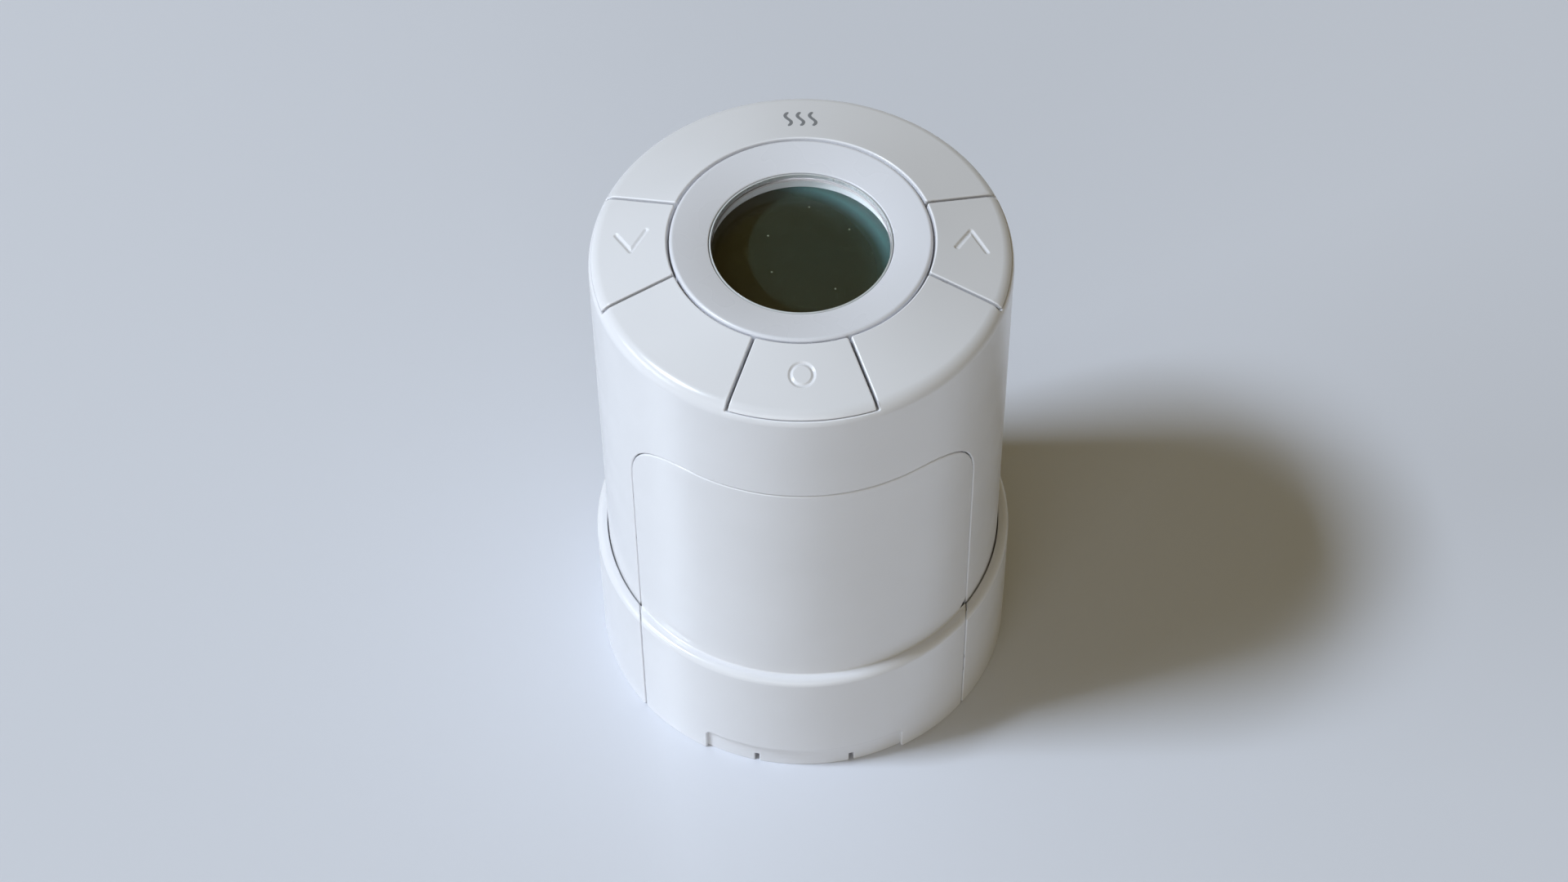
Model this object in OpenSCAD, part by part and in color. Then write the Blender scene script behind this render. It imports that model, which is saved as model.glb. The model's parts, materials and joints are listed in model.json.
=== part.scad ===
// Electronic thermostatic radiator valve head, standing on its coupling end.
// Origin at the centre of the base, +Z up along the spindle, battery cover towards -Y.

/* [Housing] */
// Overall height, from the base to the crest of the display bezel
total_h = 75.2; // [74:0.2:77]
// Diameter of the round body
body_d = 51; // [50.6:0.2:52]
// Thickness of the side wall
wall = 1.8; // [1.6:0.1:1.9]
// Thickness of the top face
top_t = 1.4; // [1.2:0.1:1.5]
// Slope of the top face, down towards the rim
top_slope = 15; // [13:1:16]
// Radius of the rounded rim
rim_r = 2; // [1.6:0.1:2.2]

/* [Base collar] */
// Diameter of the wider collar at the base
collar_d = 54; // [53.6:0.2:56]
// Height of the collar
collar_h = 19.9; // [18:0.1:22]
// Radius of the collar's rounded shoulder
shoulder_r = 0.9; // [0.5:0.1:1]
// Half angle of the finger notch at the front
notch_half = 28.3; // [20:0.1:32]
// Height of the finger notch
notch_h = 4; // [3:0.1:5]
// Depth of the step at the cover's foot
notch_depth = 0.5; // [0.3:0.1:1]
// Height of the two slots in the cover's foot
slot_h = 1.6; // [1:0.1:3]

/* [Battery cover] */
// Half width of the cover, measured straight across
cover_half_w = 20.9; // [20.6:0.1:21.2]
// Height of the cover's top edge above the base
cover_top = 57.75; // [56:0.05:59]
// Corner radius along the curved surface
cover_corner = 9.7; // [6:0.1:10]
// Gap round the cover
cover_gap = 0.12; // [0.1:0.01:0.2]

/* [Top face] */
// Radius of the groove between the bezel ring and the top face
crest_r = 15.9; // [15.7:0.1:16]
// Radius of the display window
window_r = 11.06; // [10.8:0.01:11.2]
// How far the bezel dips towards the window
bezel_dip = 0.8; // [0.5:0.1:0.9]
// Half angle of one push button
button_half = 20.3; // [18:0.1:22]
// Gap round a push button
button_gap = 0.36; // [0.3:0.02:0.4]

/* [Drive] */
// Gear module
gear_m = 0.5; // [0.5]
// Teeth on the drive nut
drive_teeth = 20; // [20]
// Teeth on the three pinions
pinion_teeth = 10; // [10]
// Teeth on the lower wheel
lower_teeth = 30; // [30]
// Teeth on the upper wheel
upper_teeth = 24; // [24]
// Radius of the spindle
spindle_r = 3; // [2.8:0.1:3]

/* [Valve coupling] */
// Radius of the thread's wall, for an M30 x 1.5 valve
thread_r = 14.19; // [14.19]
// Length of the thread
thread_l = 7; // [6:0.1:7]

/* [Hidden] */
$fn = 96;

cut = 1;
body_r = body_d / 2;
inner_r = body_r - wall;
collar_r = collar_d / 2;
sleeve_r = body_r + 0.1;
cover_inner_r = inner_r + 0.2;

// The rim's rounding: its centre, and where it meets the sloping top
crest_drop = 0.1;
groove_r = crest_r + 0.18;
rim_cr = body_r - rim_r;
rim_cz = top_z(rim_cr) - rim_r / cos(top_slope);
rim_tr = rim_cr + rim_r * sin(top_slope);
rim_tz = rim_cz + rim_r * cos(top_slope);

// Buttons flex about a line in the rim, at this height
hinge_z = total_h - 3.2;
flange_r = 16.4;
flange_t = 0.4;
flange_top = total_h - 2.3;
seam_slope = 10;
seam_gap = 0.08;
switch_r = 19.6;
switch_w = 6;
stem_r = 1.7;
running = 0.05;

// The stack under the window, from the printed circuit board up
pcb_z = 66.3;
pcb_t = 1.2;
pcb_top = pcb_z + pcb_t;
pcb_r = 22.6;
lcd_top = total_h - 4;
lcd_w = 25;
lcd_t = 1.6;
frame_w = 27.4;
frame_top = total_h - 2.8;
lens_t = 1.15;
lens_top = total_h - 0.95;
seal_t = 0.4;
seal_z = lens_top - lens_t - seal_t;
stem_top = pcb_top + 4.3;

// Cells, side by side behind the cover
cell_r = 7.25;
cell_l = 50.5;
cell_x = 7.45;
cell_y = -13.5;
cell_z = 13.2;
bay_back = -5.95;
bay_wall = 1;
deck_z = 64.6;
floor_z = 10.8;
floor_t = 1.2;
floor_r = 23.3;
contact_t = 0.3;

// Screws, on a circle about the axis
screw_r = 1;
screw_circle = 20.6;
pcb_screw_angles = [-62, 62, 180];
base_screw_angles = [-120, 120, 180];
base_screw_z = 2.5;
base_z = 1.2;

// Gear train: axes, levels and phases
plate_z = 26;
plate_t = 1.5;
drive_z = 28;
drive_t = 4;
hub_z = 15;
lower_z = 32.4;
upper_z = 35;
wheel_t = 2.2;
top_plate_z = 38;
motor_r = 6;
motor_l = 17;
motor_z = top_plate_z + plate_t;
slack = 0.05;
lower_dist = gear_m * (drive_teeth + pinion_teeth) / 2 + slack;
lower_xy = [0, lower_dist];
upper_dist = gear_m * (lower_teeth + pinion_teeth) / 2 + slack;
upper_dir = 30;
upper_xy = lower_xy + upper_dist * [cos(upper_dir), sin(upper_dir)];
motor_dist = gear_m * (upper_teeth + pinion_teeth) / 2 + slack;
motor_dir = 170;
motor_xy = upper_xy + motor_dist * [cos(motor_dir), sin(motor_dir)];
lower_phase = mesh_phase(90, 0, drive_teeth, pinion_teeth);
upper_phase = mesh_phase(upper_dir, lower_phase, lower_teeth, pinion_teeth);
motor_phase = mesh_phase(motor_dir, upper_phase, upper_teeth, pinion_teeth);
pin_r = 0.75;
post_xy = [[-14.5, 3], [14.5, 1.5], [-9, 18.5]];

// Spindle and valve coupling
spindle_z = 9.9;
spindle_l = 22;
tip_drop = 0.7;
nut_z = 0.4;
nut_r = 17;
nut_top = 10.4;
bush_r = 11;
relief_r = 14.6;
relief_h = 1.6;
bush_flange_z = nut_z + thread_l + 0.3;
bush_top = 14;
nut_ribs = 24;

// Height of the sloping top face at radius r
function top_z(r) = total_h - crest_drop - (r - groove_r) * tan(top_slope);

// Turn of a gear that puts it in mesh with a gear at direction dir from its partner
function mesh_phase(dir, phase, n_from, n_to) =
  dir + 180 + 360 / n_to * (0.5 - (phase - dir) * n_from / 360);

// Half the angle that a tooth covers at radius r
function tooth_half(r, r_base, n) =
  let (swing = acos(min(1, r_base / r)))
  72 / n + inv_deg(20) - inv_deg(swing);

function inv_deg(a) = tan(a) * 180 / PI - a;

// Outline of a spur gear of n teeth
module gear_outline(n) {
  pitch_r = gear_m * n / 2;
  base_r = pitch_r * cos(20);
  root_r = pitch_r - 1.15 * gear_m;
  tip_r = pitch_r + 0.8 * gear_m;
  low_r = max(base_r, root_r + 0.01);
  flank = [for (i = [0:4]) low_r + (tip_r - low_r) * i / 4];
  radii = concat([root_r], flank);
  count = len(radii);
  polygon([
    for (k = [0:n - 1], side = [-1, 1], i = [0:count - 1])
      let (
        j = side < 0 ? i : count - 1 - i,
        a = 360 * k / n + side * tooth_half(radii[j], base_r, n)
      )
      radii[j] * [cos(a), sin(a)]
  ]);
}

module gear(n, h, phase) {
  rotate([0, 0, phase]) linear_extrude(height = h) gear_outline(n);
}

// A ring of rectangular section
module ring(r_out, r_in, z, h) {
  translate([0, 0, z]) difference() {
    cylinder(r = r_out, h = h);
    translate([0, 0, -cut]) cylinder(r = r_in, h = h + 2 * cut);
  }
}

// A box centred on X and Y, standing on z
module block(size, at = [0, 0], z = 0) {
  translate([at[0] - size[0] / 2, at[1] - size[1] / 2, z]) cube(size);
}

// A child at a distance r from the axis, at angle a from the front
module around(a, r) {
  rotate([0, 0, a]) translate([0, -r, 0]) children();
}

// Half section of the round body, solid, from the height z up
module body_section(z) {
  polygon([
    [0, z], [body_r, z], [body_r, rim_cz], [rim_cr, rim_cz], [rim_tr, rim_tz],
    [groove_r, top_z(groove_r)], [0, top_z(groove_r)]
  ]);
  translate([rim_cr, rim_cz]) circle(r = rim_r);
}

// Half section of the space inside the body
module inner_section(z) {
  under = top_t / cos(top_slope);
  bend_r = inner_r - 1;
  polygon([
    [-cut, z], [inner_r, z], [inner_r, top_z(inner_r) - under - 1.2],
    [bend_r, top_z(bend_r) - under], [groove_r, top_z(groove_r) - under],
    [groove_r, total_h + cut], [-cut, total_h + cut]
  ]);
}

module shell_section(z) {
  difference() {
    body_section(z);
    inner_section(z - cut);
  }
}

// Half section of the collar, with its rounded shoulder
module collar_section(r_in) {
  polygon([
    [r_in, 0], [collar_r, 0], [collar_r, collar_h - shoulder_r],
    [collar_r - shoulder_r, collar_h], [r_in, collar_h]
  ]);
  intersection() {
    translate([collar_r - shoulder_r, collar_h - shoulder_r]) circle(r = shoulder_r);
    translate([r_in, 0]) square([collar_r, collar_h + cut]);
  }
}

// Front outline of the battery cover, grown by g. Its corners are round on the curved wall.
module cover_outline(g) {
  arc = body_r * asin(cover_half_w / body_r) * PI / 180;
  corner = [for (a = [0:9:90]) [
    body_r * sin((arc - cover_corner * (1 - cos(a))) / body_r * 180 / PI),
    cover_top - cover_corner * (1 - sin(a))
  ]];
  right = concat([[cover_half_w, -cut]], corner);
  left = [for (i = [len(right) - 1:-1:0]) [-right[i][0], right[i][1]]];
  offset_right = [for (p = right) [p[0] + g, p[1] + (p[1] > 0 ? g : 0)]];
  offset_left = [for (p = left) [p[0] - g, p[1] + (p[1] > 0 ? g : 0)]];
  polygon(concat(offset_right, offset_left));
}

module cover_prism(g) {
  rotate([90, 0, 0]) linear_extrude(height = collar_r + cut) cover_outline(g);
}

// Sector of the top face that one button takes up, at angle a
module button_sector(a, gap) {
  spread = button_half + 0.6;
  apex = gap / sin(spread);
  rotate([0, 0, a]) translate([0, -apex, 0]) linear_extrude(height = total_h + cut) polygon([
    [0, 0], 2 * body_r * [-sin(spread), -cos(spread)],
    3 * body_r * [0, -1], 2 * body_r * [sin(spread), -cos(spread)]
  ]);
}

// Half section of what lies above the hinge seam in the rim
module above_seam(rise, slope) {
  reach = body_r + cut;
  polygon([
    [0, hinge_z + rise - (body_r - groove_r) * tan(slope)],
    [groove_r, hinge_z + rise - (body_r - groove_r) * tan(slope)],
    [reach, hinge_z + rise + (reach - body_r) * tan(slope)],
    [reach, total_h + cut], [0, total_h + cut]
  ]);
}

module housing() {
  color("#dfe6ea") difference() {
    rotate_extrude() shell_section(1);
    cover_prism(cover_gap);
    for (a = [-90, 0, 90]) intersection() {
      button_sector(a, 0);
      rotate_extrude() above_seam(0, 2 * seam_slope);
    }
  }
}

module base_collar() {
  color("#d9e0e4") difference() {
    rotate_extrude() collar_section(sleeve_r);
    cover_prism(cover_gap);
  }
}

module battery_cover() {
  color("#dce4e8") difference() {
    union() {
      intersection() {
        rotate_extrude() difference() {
          union() {
            shell_section(0);
            collar_section(inner_r);
          }
          translate([0, -cut]) square([cover_inner_r, total_h]);
        }
        cover_prism(0);
      }
      for (side = [-1, 1]) intersection() {
        translate([side * 18.9 - 0.5, -16, 22]) cube([1, 7, 30]);
        cylinder(r = cover_inner_r + 0.2, h = total_h);
      }
    }
    rotate([0, 0, -90 - notch_half]) rotate_extrude(angle = 2 * notch_half)
      translate([collar_r - notch_depth, -cut]) square([notch_depth + cut, notch_h + cut]);
    for (a = [-13.5, 13.5]) around(a, inner_r + 1)
      translate([-0.3, -2.5, -cut]) cube([0.6, 5, slot_h + cut]);
  }
}

module cell_pad() {
  color("#b9b0ad") intersection() {
    ring(cover_inner_r - 0.02, cover_inner_r - 0.9, 34, 12);
    block([18, 60, 60], [0, -30], 0);
  }
}

module bezel_ring() {
  color("#cdd5de") rotate_extrude() difference() {
    polygon([
      [window_r, total_h - bezel_dip], [crest_r - 0.45, total_h],
      [crest_r - 0.15, total_h - 0.1], [crest_r - 0.15, flange_top],
      [flange_r, flange_top], [flange_r, flange_top - flange_t], [14, flange_top - flange_t],
      [14, seal_z + seal_t], [window_r, seal_z + seal_t]
    ]);
    translate([window_r, total_h - bezel_dip]) circle(r = 0.12);
  }
}

module display_lens() {
  edge = 0.15;
  r = window_r - 0.08;
  z = lens_top - lens_t;
  color("#e8f0f2", 0.35) rotate_extrude() polygon([
    [0, z], [r, z], [r, lens_top - edge], [r - edge, lens_top], [0, lens_top]
  ]);
}

module lens_seal() {
  color("#b9b0ad") ring(13.4, window_r - 0.45, seal_z, seal_t);
}

module lcd_frame() {
  wall_t = (frame_w - lcd_w - 0.2) / 2;
  color("#b9b6b2") difference() {
    union() {
      block([frame_w, frame_w, frame_top - pcb_top], [0, 0], pcb_top);
      translate([0, 0, frame_top - cut]) cylinder(r = 13.4, h = seal_z - frame_top + cut);
    }
    pocket = frame_w - 2 * wall_t;
    block([pocket, pocket, lcd_top - pcb_top + cut], [0, 0], pcb_top - cut);
    cylinder(r = window_r - 0.15, h = total_h);
  }
}

module lcd_cell() {
  color("#39422f") union() {
    block([lcd_w, lcd_w - 2.4, lcd_t / 2], [0, 0], lcd_top - lcd_t / 2);
    block([lcd_w, lcd_w, lcd_t / 2], [0, 0], lcd_top - lcd_t);
  }
}

module light_guide() {
  color("#e6ece0", 0.5) block([lcd_w - 0.4, lcd_w - 4.6, 1.6], [0, 0], lcd_top - lcd_t - 1.7);
}

module lcd_connectors() {
  h = lcd_top - lcd_t - pcb_top;
  color("#d7797f") for (side = [-1, 1]) block([lcd_w - 3, 1.6, h], [0, side * 11.4], pcb_top);
}

// A chevron with square-cut arms, pointing towards -Y
module chevron() {
  polygon([[-2, 1.3], [-1.58, 1.6], [0, -0.97], [1.58, 1.6], [2, 1.3], [0, -1.93]]);
}

module dot_ring() {
  difference() {
    circle(r = 1.6, $fn = 48);
    circle(r = 1.1, $fn = 48);
  }
}

// The skin that a symbol is sunk into
module symbol_skin() {
  rotate_extrude() polygon([
    [groove_r, top_z(groove_r) - 0.16], [rim_tr, rim_tz - 0.16],
    [rim_tr, total_h + cut], [groove_r, total_h + cut]
  ]);
}

// A push button at angle a, one tongue of the top face with a boss over its switch
module button(a) {
  color("#d5dde6") difference() {
    union() {
      intersection() {
        rotate_extrude() intersection() {
          shell_section(0);
          above_seam(seam_gap, seam_slope);
        }
        button_sector(a, button_gap);
      }
      around(a, switch_r) translate([0, 0, stem_top + 0.05])
        cylinder(r = 0.8, h = 1.4, $fn = 48);
    }
    intersection() {
      linear_extrude(height = total_h + cut) children();
      symbol_skin();
    }
  }
}

module button_down() {
  button(-90) translate([-20.3, 0.5]) chevron();
}

module button_up() {
  button(90) translate([20.3, 0.45]) rotate([0, 0, 180]) chevron();
}

module button_select() {
  button(0) translate([0, -19.9]) dot_ring();
}

module tact_switch(a) {
  color("#2b2d30") around(a, switch_r) difference() {
    union() {
      block([switch_w, switch_w, 3.3], [0, 0], pcb_top);
      translate([0, 0, pcb_top]) cylinder(r = 2.3, h = 3.6, $fn = 48);
    }
    translate([0, 0, pcb_top + 2.2]) cylinder(r = stem_r + running, h = 3, $fn = 48);
  }
}

module switch_stem(a) {
  color("#3a3d40") around(a, switch_r) translate([0, 0, pcb_top + 2.55])
    cylinder(r = stem_r, h = stem_top - pcb_top - 2.55, $fn = 48);
}

module main_pcb() {
  color("#1f6b45") difference() {
    translate([0, 0, pcb_z]) cylinder(r = pcb_r, h = pcb_t);
    for (a = pcb_screw_angles) around(a, screw_circle)
      translate([0, 0, pcb_z - cut]) cylinder(r = screw_r + 0.15, h = 3 * cut, $fn = 32);
  }
}

// A pan-head screw with a cross recess, its head standing on z
module screw(r, length, z) {
  translate([0, 0, z]) difference() {
    union() {
      translate([0, 0, -length]) cylinder(r = r, h = length + 0.2, $fn = 32);
      cylinder(r = 1.9 * r, h = 1.1, $fn = 32);
    }
    for (turn = [0, 90]) rotate([0, 0, turn]) block([2.2 * r, 0.4, cut], [0, 0], 0.6);
  }
}

module pcb_screws() {
  color("silver") for (a = pcb_screw_angles) around(a, screw_circle) screw(screw_r, 4, pcb_top);
}

module microcontroller() {
  at = [-7.5, 7.5];
  color("#232527") union() {
    block([7, 7, 1], at, pcb_z - 1.1);
    for (i = [-2.5:1:2.5]) {
      block([0.35, 9, 0.25], at + [i, 0], pcb_z - 0.25);
      block([9, 0.35, 0.25], at + [0, i], pcb_z - 0.25);
    }
  }
}

// A shielding can, open towards the board
module radio_module() {
  at = [7.5, 6.5];
  color("#b9bec2") difference() {
    block([9, 11, 1.5], at, pcb_z - 1.5);
    block([8.4, 10.4, 1.5], at, pcb_z - 1.3);
  }
}

module antenna() {
  color("#b87333") union() {
    rotate([0, 0, 102]) rotate_extrude(angle = 56)
      translate([21.6, pcb_top + 1.6]) circle(r = 0.4, $fn = 24);
    for (a = [102.5, 157.5]) rotate([0, 0, a]) translate([21.6, 0, pcb_top])
      cylinder(r = 0.35, h = 1.6, $fn = 24);
  }
}

// A bead thermistor on two legs
module temperature_sensor() {
  color("#2a2a2a") translate([-16.5, -13, pcb_top]) union() {
    translate([0, 0, 3]) sphere(r = 1.1, $fn = 32);
    for (side = [-0.5, 0.5]) translate([side, 0, 0]) cylinder(r = 0.2, h = 2.6, $fn = 16);
  }
}

// The inner frame: a floor, a wall behind the cells, a deck under the board, and posts
module chassis() {
  color("#c9ced2") difference() {
    union() {
      translate([0, 0, floor_z]) cylinder(r = floor_r, h = floor_t);
      translate([0, 0, deck_z]) cylinder(r = floor_r, h = floor_t);
      translate([-21.5, bay_back, floor_z]) cube([43, bay_wall, deck_z - floor_z]);
      block([1.4, 8, deck_z - floor_z], [-15.6, -9], floor_z);
      block([1.4, 8, deck_z - floor_z], [15.6, -9], floor_z);
      for (p = post_xy) translate([p[0], p[1], floor_z])
        cylinder(r = 2.4, h = plate_z - floor_z, $fn = 48);
      for (a = pcb_screw_angles) around(a, screw_circle)
        translate([0, 0, deck_z - 4]) cylinder(r = 2.2, h = pcb_z - deck_z + 4, $fn = 32);
    }
    translate([0, 0, floor_z - cut]) cylinder(r = 7.5, h = bush_top - floor_z + 1.2);
    translate([-6, bay_back - cut, plate_z - 0.3]) cube([12, bay_wall + 2 * cut, 11]);
    for (side = [-1, 1]) translate([side * 10, bay_back - cut, 50])
      block([9, 4, 8], [0, 1], 0);
    block([26, 20, 6 * cut], [0, 7.5], deck_z - 3 * cut);
    block([9, 9, 6 * cut], [0, -13.5], deck_z - 3 * cut);
    for (p = post_xy) translate([p[0], p[1], plate_z - 7]) cylinder(r = screw_r, h = 8, $fn = 32);
    for (a = pcb_screw_angles) around(a, screw_circle)
      translate([0, 0, pcb_z - 5]) cylinder(r = screw_r, h = 6, $fn = 32);
    for (a = base_screw_angles) around(a, screw_circle)
      translate([0, 0, floor_z - cut]) cylinder(r = screw_r, h = floor_t + 2 * cut, $fn = 32);
  }
}

// Plate that closes the base round the coupling nut
module base_cover() {
  color("#d3dade") difference() {
    union() {
      ring(23.2, 18, base_z, 1.4);
      ring(19.2, 18, base_z, floor_z - base_z - 0.2);
      for (a = base_screw_angles) around(a, screw_circle)
        translate([0, 0, base_z]) cylinder(r = 2.2, h = floor_z - base_z, $fn = 32);
    }
    for (a = base_screw_angles) around(a, screw_circle) {
      translate([0, 0, -cut]) cylinder(r = screw_r + 0.1, h = 20, $fn = 32);
      translate([0, 0, -cut]) cylinder(r = 2.05, h = base_screw_z + cut, $fn = 32);
    }
  }
}

module base_cover_screws() {
  color("silver") for (a = base_screw_angles) around(a, screw_circle)
    translate([0, 0, base_screw_z]) mirror([0, 0, 1]) screw(screw_r, 8.5, 0);
}

// A round cell: can, wrapper shoulders and positive button
module cell(x, up) {
  color("#3d5a73") translate([x, cell_y, cell_z + (up ? 0 : cell_l)]) rotate([up ? 0 : 180, 0, 0])
    rotate_extrude() polygon([
      [0, 0], [cell_r - 1, 0], [cell_r - 0.9, 0.2], [cell_r - 0.4, 0.2], [cell_r, 0.6],
      [cell_r, cell_l - 2], [cell_r - 0.4, cell_l - 1.6], [2.75, cell_l - 1.5],
      [2.75, cell_l - 0.2], [2.55, cell_l], [0, cell_l]
    ]);
}

module battery_left() {
  cell(-cell_x, true);
}

module battery_right() {
  cell(cell_x, false);
}

module contact_link() {
  z = cell_z + cell_l + 0.05;
  color("#c4c8cb") union() {
    block([26, 9, contact_t], [0, cell_y], z + 0.5);
    for (x = [-cell_x, cell_x]) translate([x, cell_y, z]) cylinder(r1 = 2, r2 = 3, h = 0.5, $fn = 48);
    block([6, contact_t, pcb_z - z - 0.5], [0, cell_y], z + 0.5);
  }
}

module contact_positive() {
  color("#c4c8cb") union() {
    block([11, 9, contact_t], [cell_x, cell_y], floor_z + floor_t);
    translate([cell_x, cell_y, floor_z + floor_t]) cylinder(r1 = 3.2, r2 = 2.4, h = 1.15, $fn = 48);
  }
}

// The spring's turns stand on its plate as a stepped cone, as they do when a cell squeezes them
module contact_spring() {
  color("#c4c8cb") union() {
    block([11, 9, contact_t], [-cell_x, cell_y], floor_z + floor_t);
    translate([-cell_x, cell_y, floor_z + floor_t + 0.4]) rotate_extrude() union() {
      for (i = [0:2]) translate([4 - 0.6 * i, 0.28 * i]) circle(r = 0.2, $fn = 24);
      polygon([[4, 0], [2.8, 0.56], [2.7, 0.46], [3.9, -0.2]]);
    }
  }
}

module motor() {
  color("#aeb3b7") translate([motor_xy[0], motor_xy[1], motor_z]) difference() {
    union() {
      intersection() {
        cylinder(r = motor_r, h = motor_l);
        block([2 * motor_r, 10, motor_l]);
      }
      translate([0, 0, motor_l]) cylinder(r = 2.5, h = 1.2, $fn = 48);
      for (side = [-1, 1]) block([0.5, 1.6, 2.6], [side * 4, 0], motor_l);
    }
    translate([0, 0, -cut]) cylinder(r = 0.85, h = 6, $fn = 32);
  }
}

module motor_leads() {
  color("#8b2f2a") for (side = [-1, 1])
    translate([motor_xy[0] + side * 4 + 0.85 * side, motor_xy[1], motor_z + motor_l + 0.8])
      cylinder(r = 0.5, h = pcb_z - motor_z - motor_l - 0.8, $fn = 24);
}

module motor_pinion() {
  color("#c9a646") translate([motor_xy[0], motor_xy[1], 0]) union() {
    translate([0, 0, upper_z + 0.1]) gear(pinion_teeth, wheel_t - 0.2, motor_phase);
    translate([0, 0, upper_z]) cylinder(r = 0.8, h = motor_z + 4.5 - upper_z, $fn = 32);
  }
}

// Outline shared by the two gearbox plates
module gearbox_outline() {
  difference() {
    intersection() {
      circle(r = 21.4);
      translate([-19, -4.7]) square([38, 30]);
    }
    for (p = post_xy) translate(p) circle(r = screw_r + 0.15, $fn = 32);
    for (p = [lower_xy, upper_xy]) translate(p) circle(r = pin_r, $fn = 32);
  }
}

module gearbox_base() {
  color("#e3e4e0") difference() {
    union() {
      translate([0, 0, plate_z]) linear_extrude(height = plate_t) gearbox_outline();
      for (p = post_xy) translate([p[0], p[1], plate_z])
        cylinder(r = 2.4, h = top_plate_z - plate_z, $fn = 48);
    }
    for (p = post_xy) translate([p[0], p[1], plate_z - cut])
      cylinder(r = screw_r + 0.15, h = 20, $fn = 32);
    translate([0, 0, plate_z - cut]) cylinder(r = 4.5, h = 3 * cut);
  }
}

module gearbox_cover() {
  color("#e3e4e0") difference() {
    translate([0, 0, top_plate_z]) linear_extrude(height = plate_t) gearbox_outline();
    translate([motor_xy[0], motor_xy[1], top_plate_z - cut]) cylinder(r = 1.5, h = 3 * cut, $fn = 48);
  }
}

module gearbox_screws() {
  color("silver") for (p = post_xy) translate([p[0], p[1], 0])
    screw(screw_r, top_plate_z + plate_t - plate_z + 6, top_plate_z + plate_t);
}

module gear_pins() {
  color("silver") for (p = [lower_xy, upper_xy]) translate([p[0], p[1], plate_z])
    cylinder(r = pin_r, h = top_plate_z + plate_t - plate_z, $fn = 32);
}

// A wheel and a pinion on one boss, bored for its pin
module compound_gear(xy, z_wheel, n_wheel, z_pinion, h_pinion, phase) {
  low = min(z_wheel, z_pinion);
  high = max(z_wheel + wheel_t, z_pinion + h_pinion);
  translate([xy[0], xy[1], 0]) difference() {
    union() {
      translate([0, 0, z_wheel + 0.1]) gear(n_wheel, wheel_t - 0.2, phase);
      translate([0, 0, z_pinion + 0.1]) gear(pinion_teeth, h_pinion - 0.2, phase);
      translate([0, 0, low]) cylinder(r = 1.8, h = high - low, $fn = 48);
    }
    translate([0, 0, low - cut]) cylinder(r = pin_r + running, h = high - low + 2 * cut, $fn = 48);
  }
}

module lower_gear() {
  color("#e9e2c4")
    compound_gear(lower_xy, lower_z, lower_teeth, drive_z, lower_z - drive_z + 0.2, lower_phase);
}

module upper_gear() {
  color("#dfe4e6")
    compound_gear(upper_xy, upper_z, upper_teeth, lower_z, upper_z - lower_z + 0.2, upper_phase);
}

// The drive nut turns in the gearbox floor and carries the spindle in its bore
module drive_gear() {
  color("#f0ead2") difference() {
    union() {
      translate([0, 0, drive_z]) gear(drive_teeth, drive_t, 0);
      translate([0, 0, hub_z]) cylinder(r = 4.4, h = drive_z - hub_z + 0.1);
    }
    translate([0, 0, 10]) cylinder(r = spindle_r + running, h = 30);
  }
}

module thrust_washer() {
  color("silver") ring(6.6, 4.5, plate_z + plate_t, 0.4);
}

// Threaded rod: turns of thread stand on it as fine ridges
module spindle() {
  pitch = 1;
  color("#9aa0a5") rotate_extrude() union() {
    translate([0, spindle_z]) square([spindle_r - 0.35, spindle_l]);
    translate([0, spindle_z]) square([spindle_r, 4]);
    for (i = [0:14]) translate([0, spindle_z + 5 + i * pitch]) polygon([
      [0, 0], [spindle_r - 0.35, 0], [spindle_r, 0.35], [spindle_r, 0.5],
      [spindle_r - 0.35, 0.85], [0, 0.85]
    ]);
  }
}

module spindle_tip() {
  color("#c8b273") rotate_extrude() polygon([
    [0, spindle_z - tip_drop], [4.2, spindle_z - tip_drop], [4.6, spindle_z - tip_drop + 0.4],
    [4.6, spindle_z], [0, spindle_z]
  ]);
}

// Fixed bush that the coupling nut turns on
module coupling_bush() {
  color("#b9bdc0") rotate_extrude() difference() {
    polygon([
      [5.4, bush_flange_z], [13.6, bush_flange_z], [13.6, bush_flange_z + 1],
      [bush_r, bush_flange_z + 1], [bush_r, floor_z], [7.4, floor_z], [7.4, bush_top],
      [5.4, bush_top]
    ]);
    translate([13.6, bush_flange_z]) circle(r = 0.2, $fn = 24);
  }
}

// Union nut: a threaded bore, an inner flange that the bush holds, and grip ribs
module coupling_nut() {
  color("#a7abae") difference() {
    union() {
      translate([0, 0, nut_z]) cylinder(r = nut_r - 0.5, h = nut_top - nut_z);
      for (i = [0:nut_ribs - 1]) rotate([0, 0, 360 * i / nut_ribs])
        translate([nut_r - 0.9, -0.8, nut_z]) cube([0.9, 1.6, nut_top - nut_z]);
    }
    translate([0, 0, nut_z - cut]) cylinder(r = thread_r, h = thread_l + cut);
    translate([0, 0, nut_z + thread_l]) cylinder(r = relief_r, h = relief_h);
    translate([0, 0, nut_z]) cylinder(r = bush_r + 0.1, h = 20);
  }
}

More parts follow.
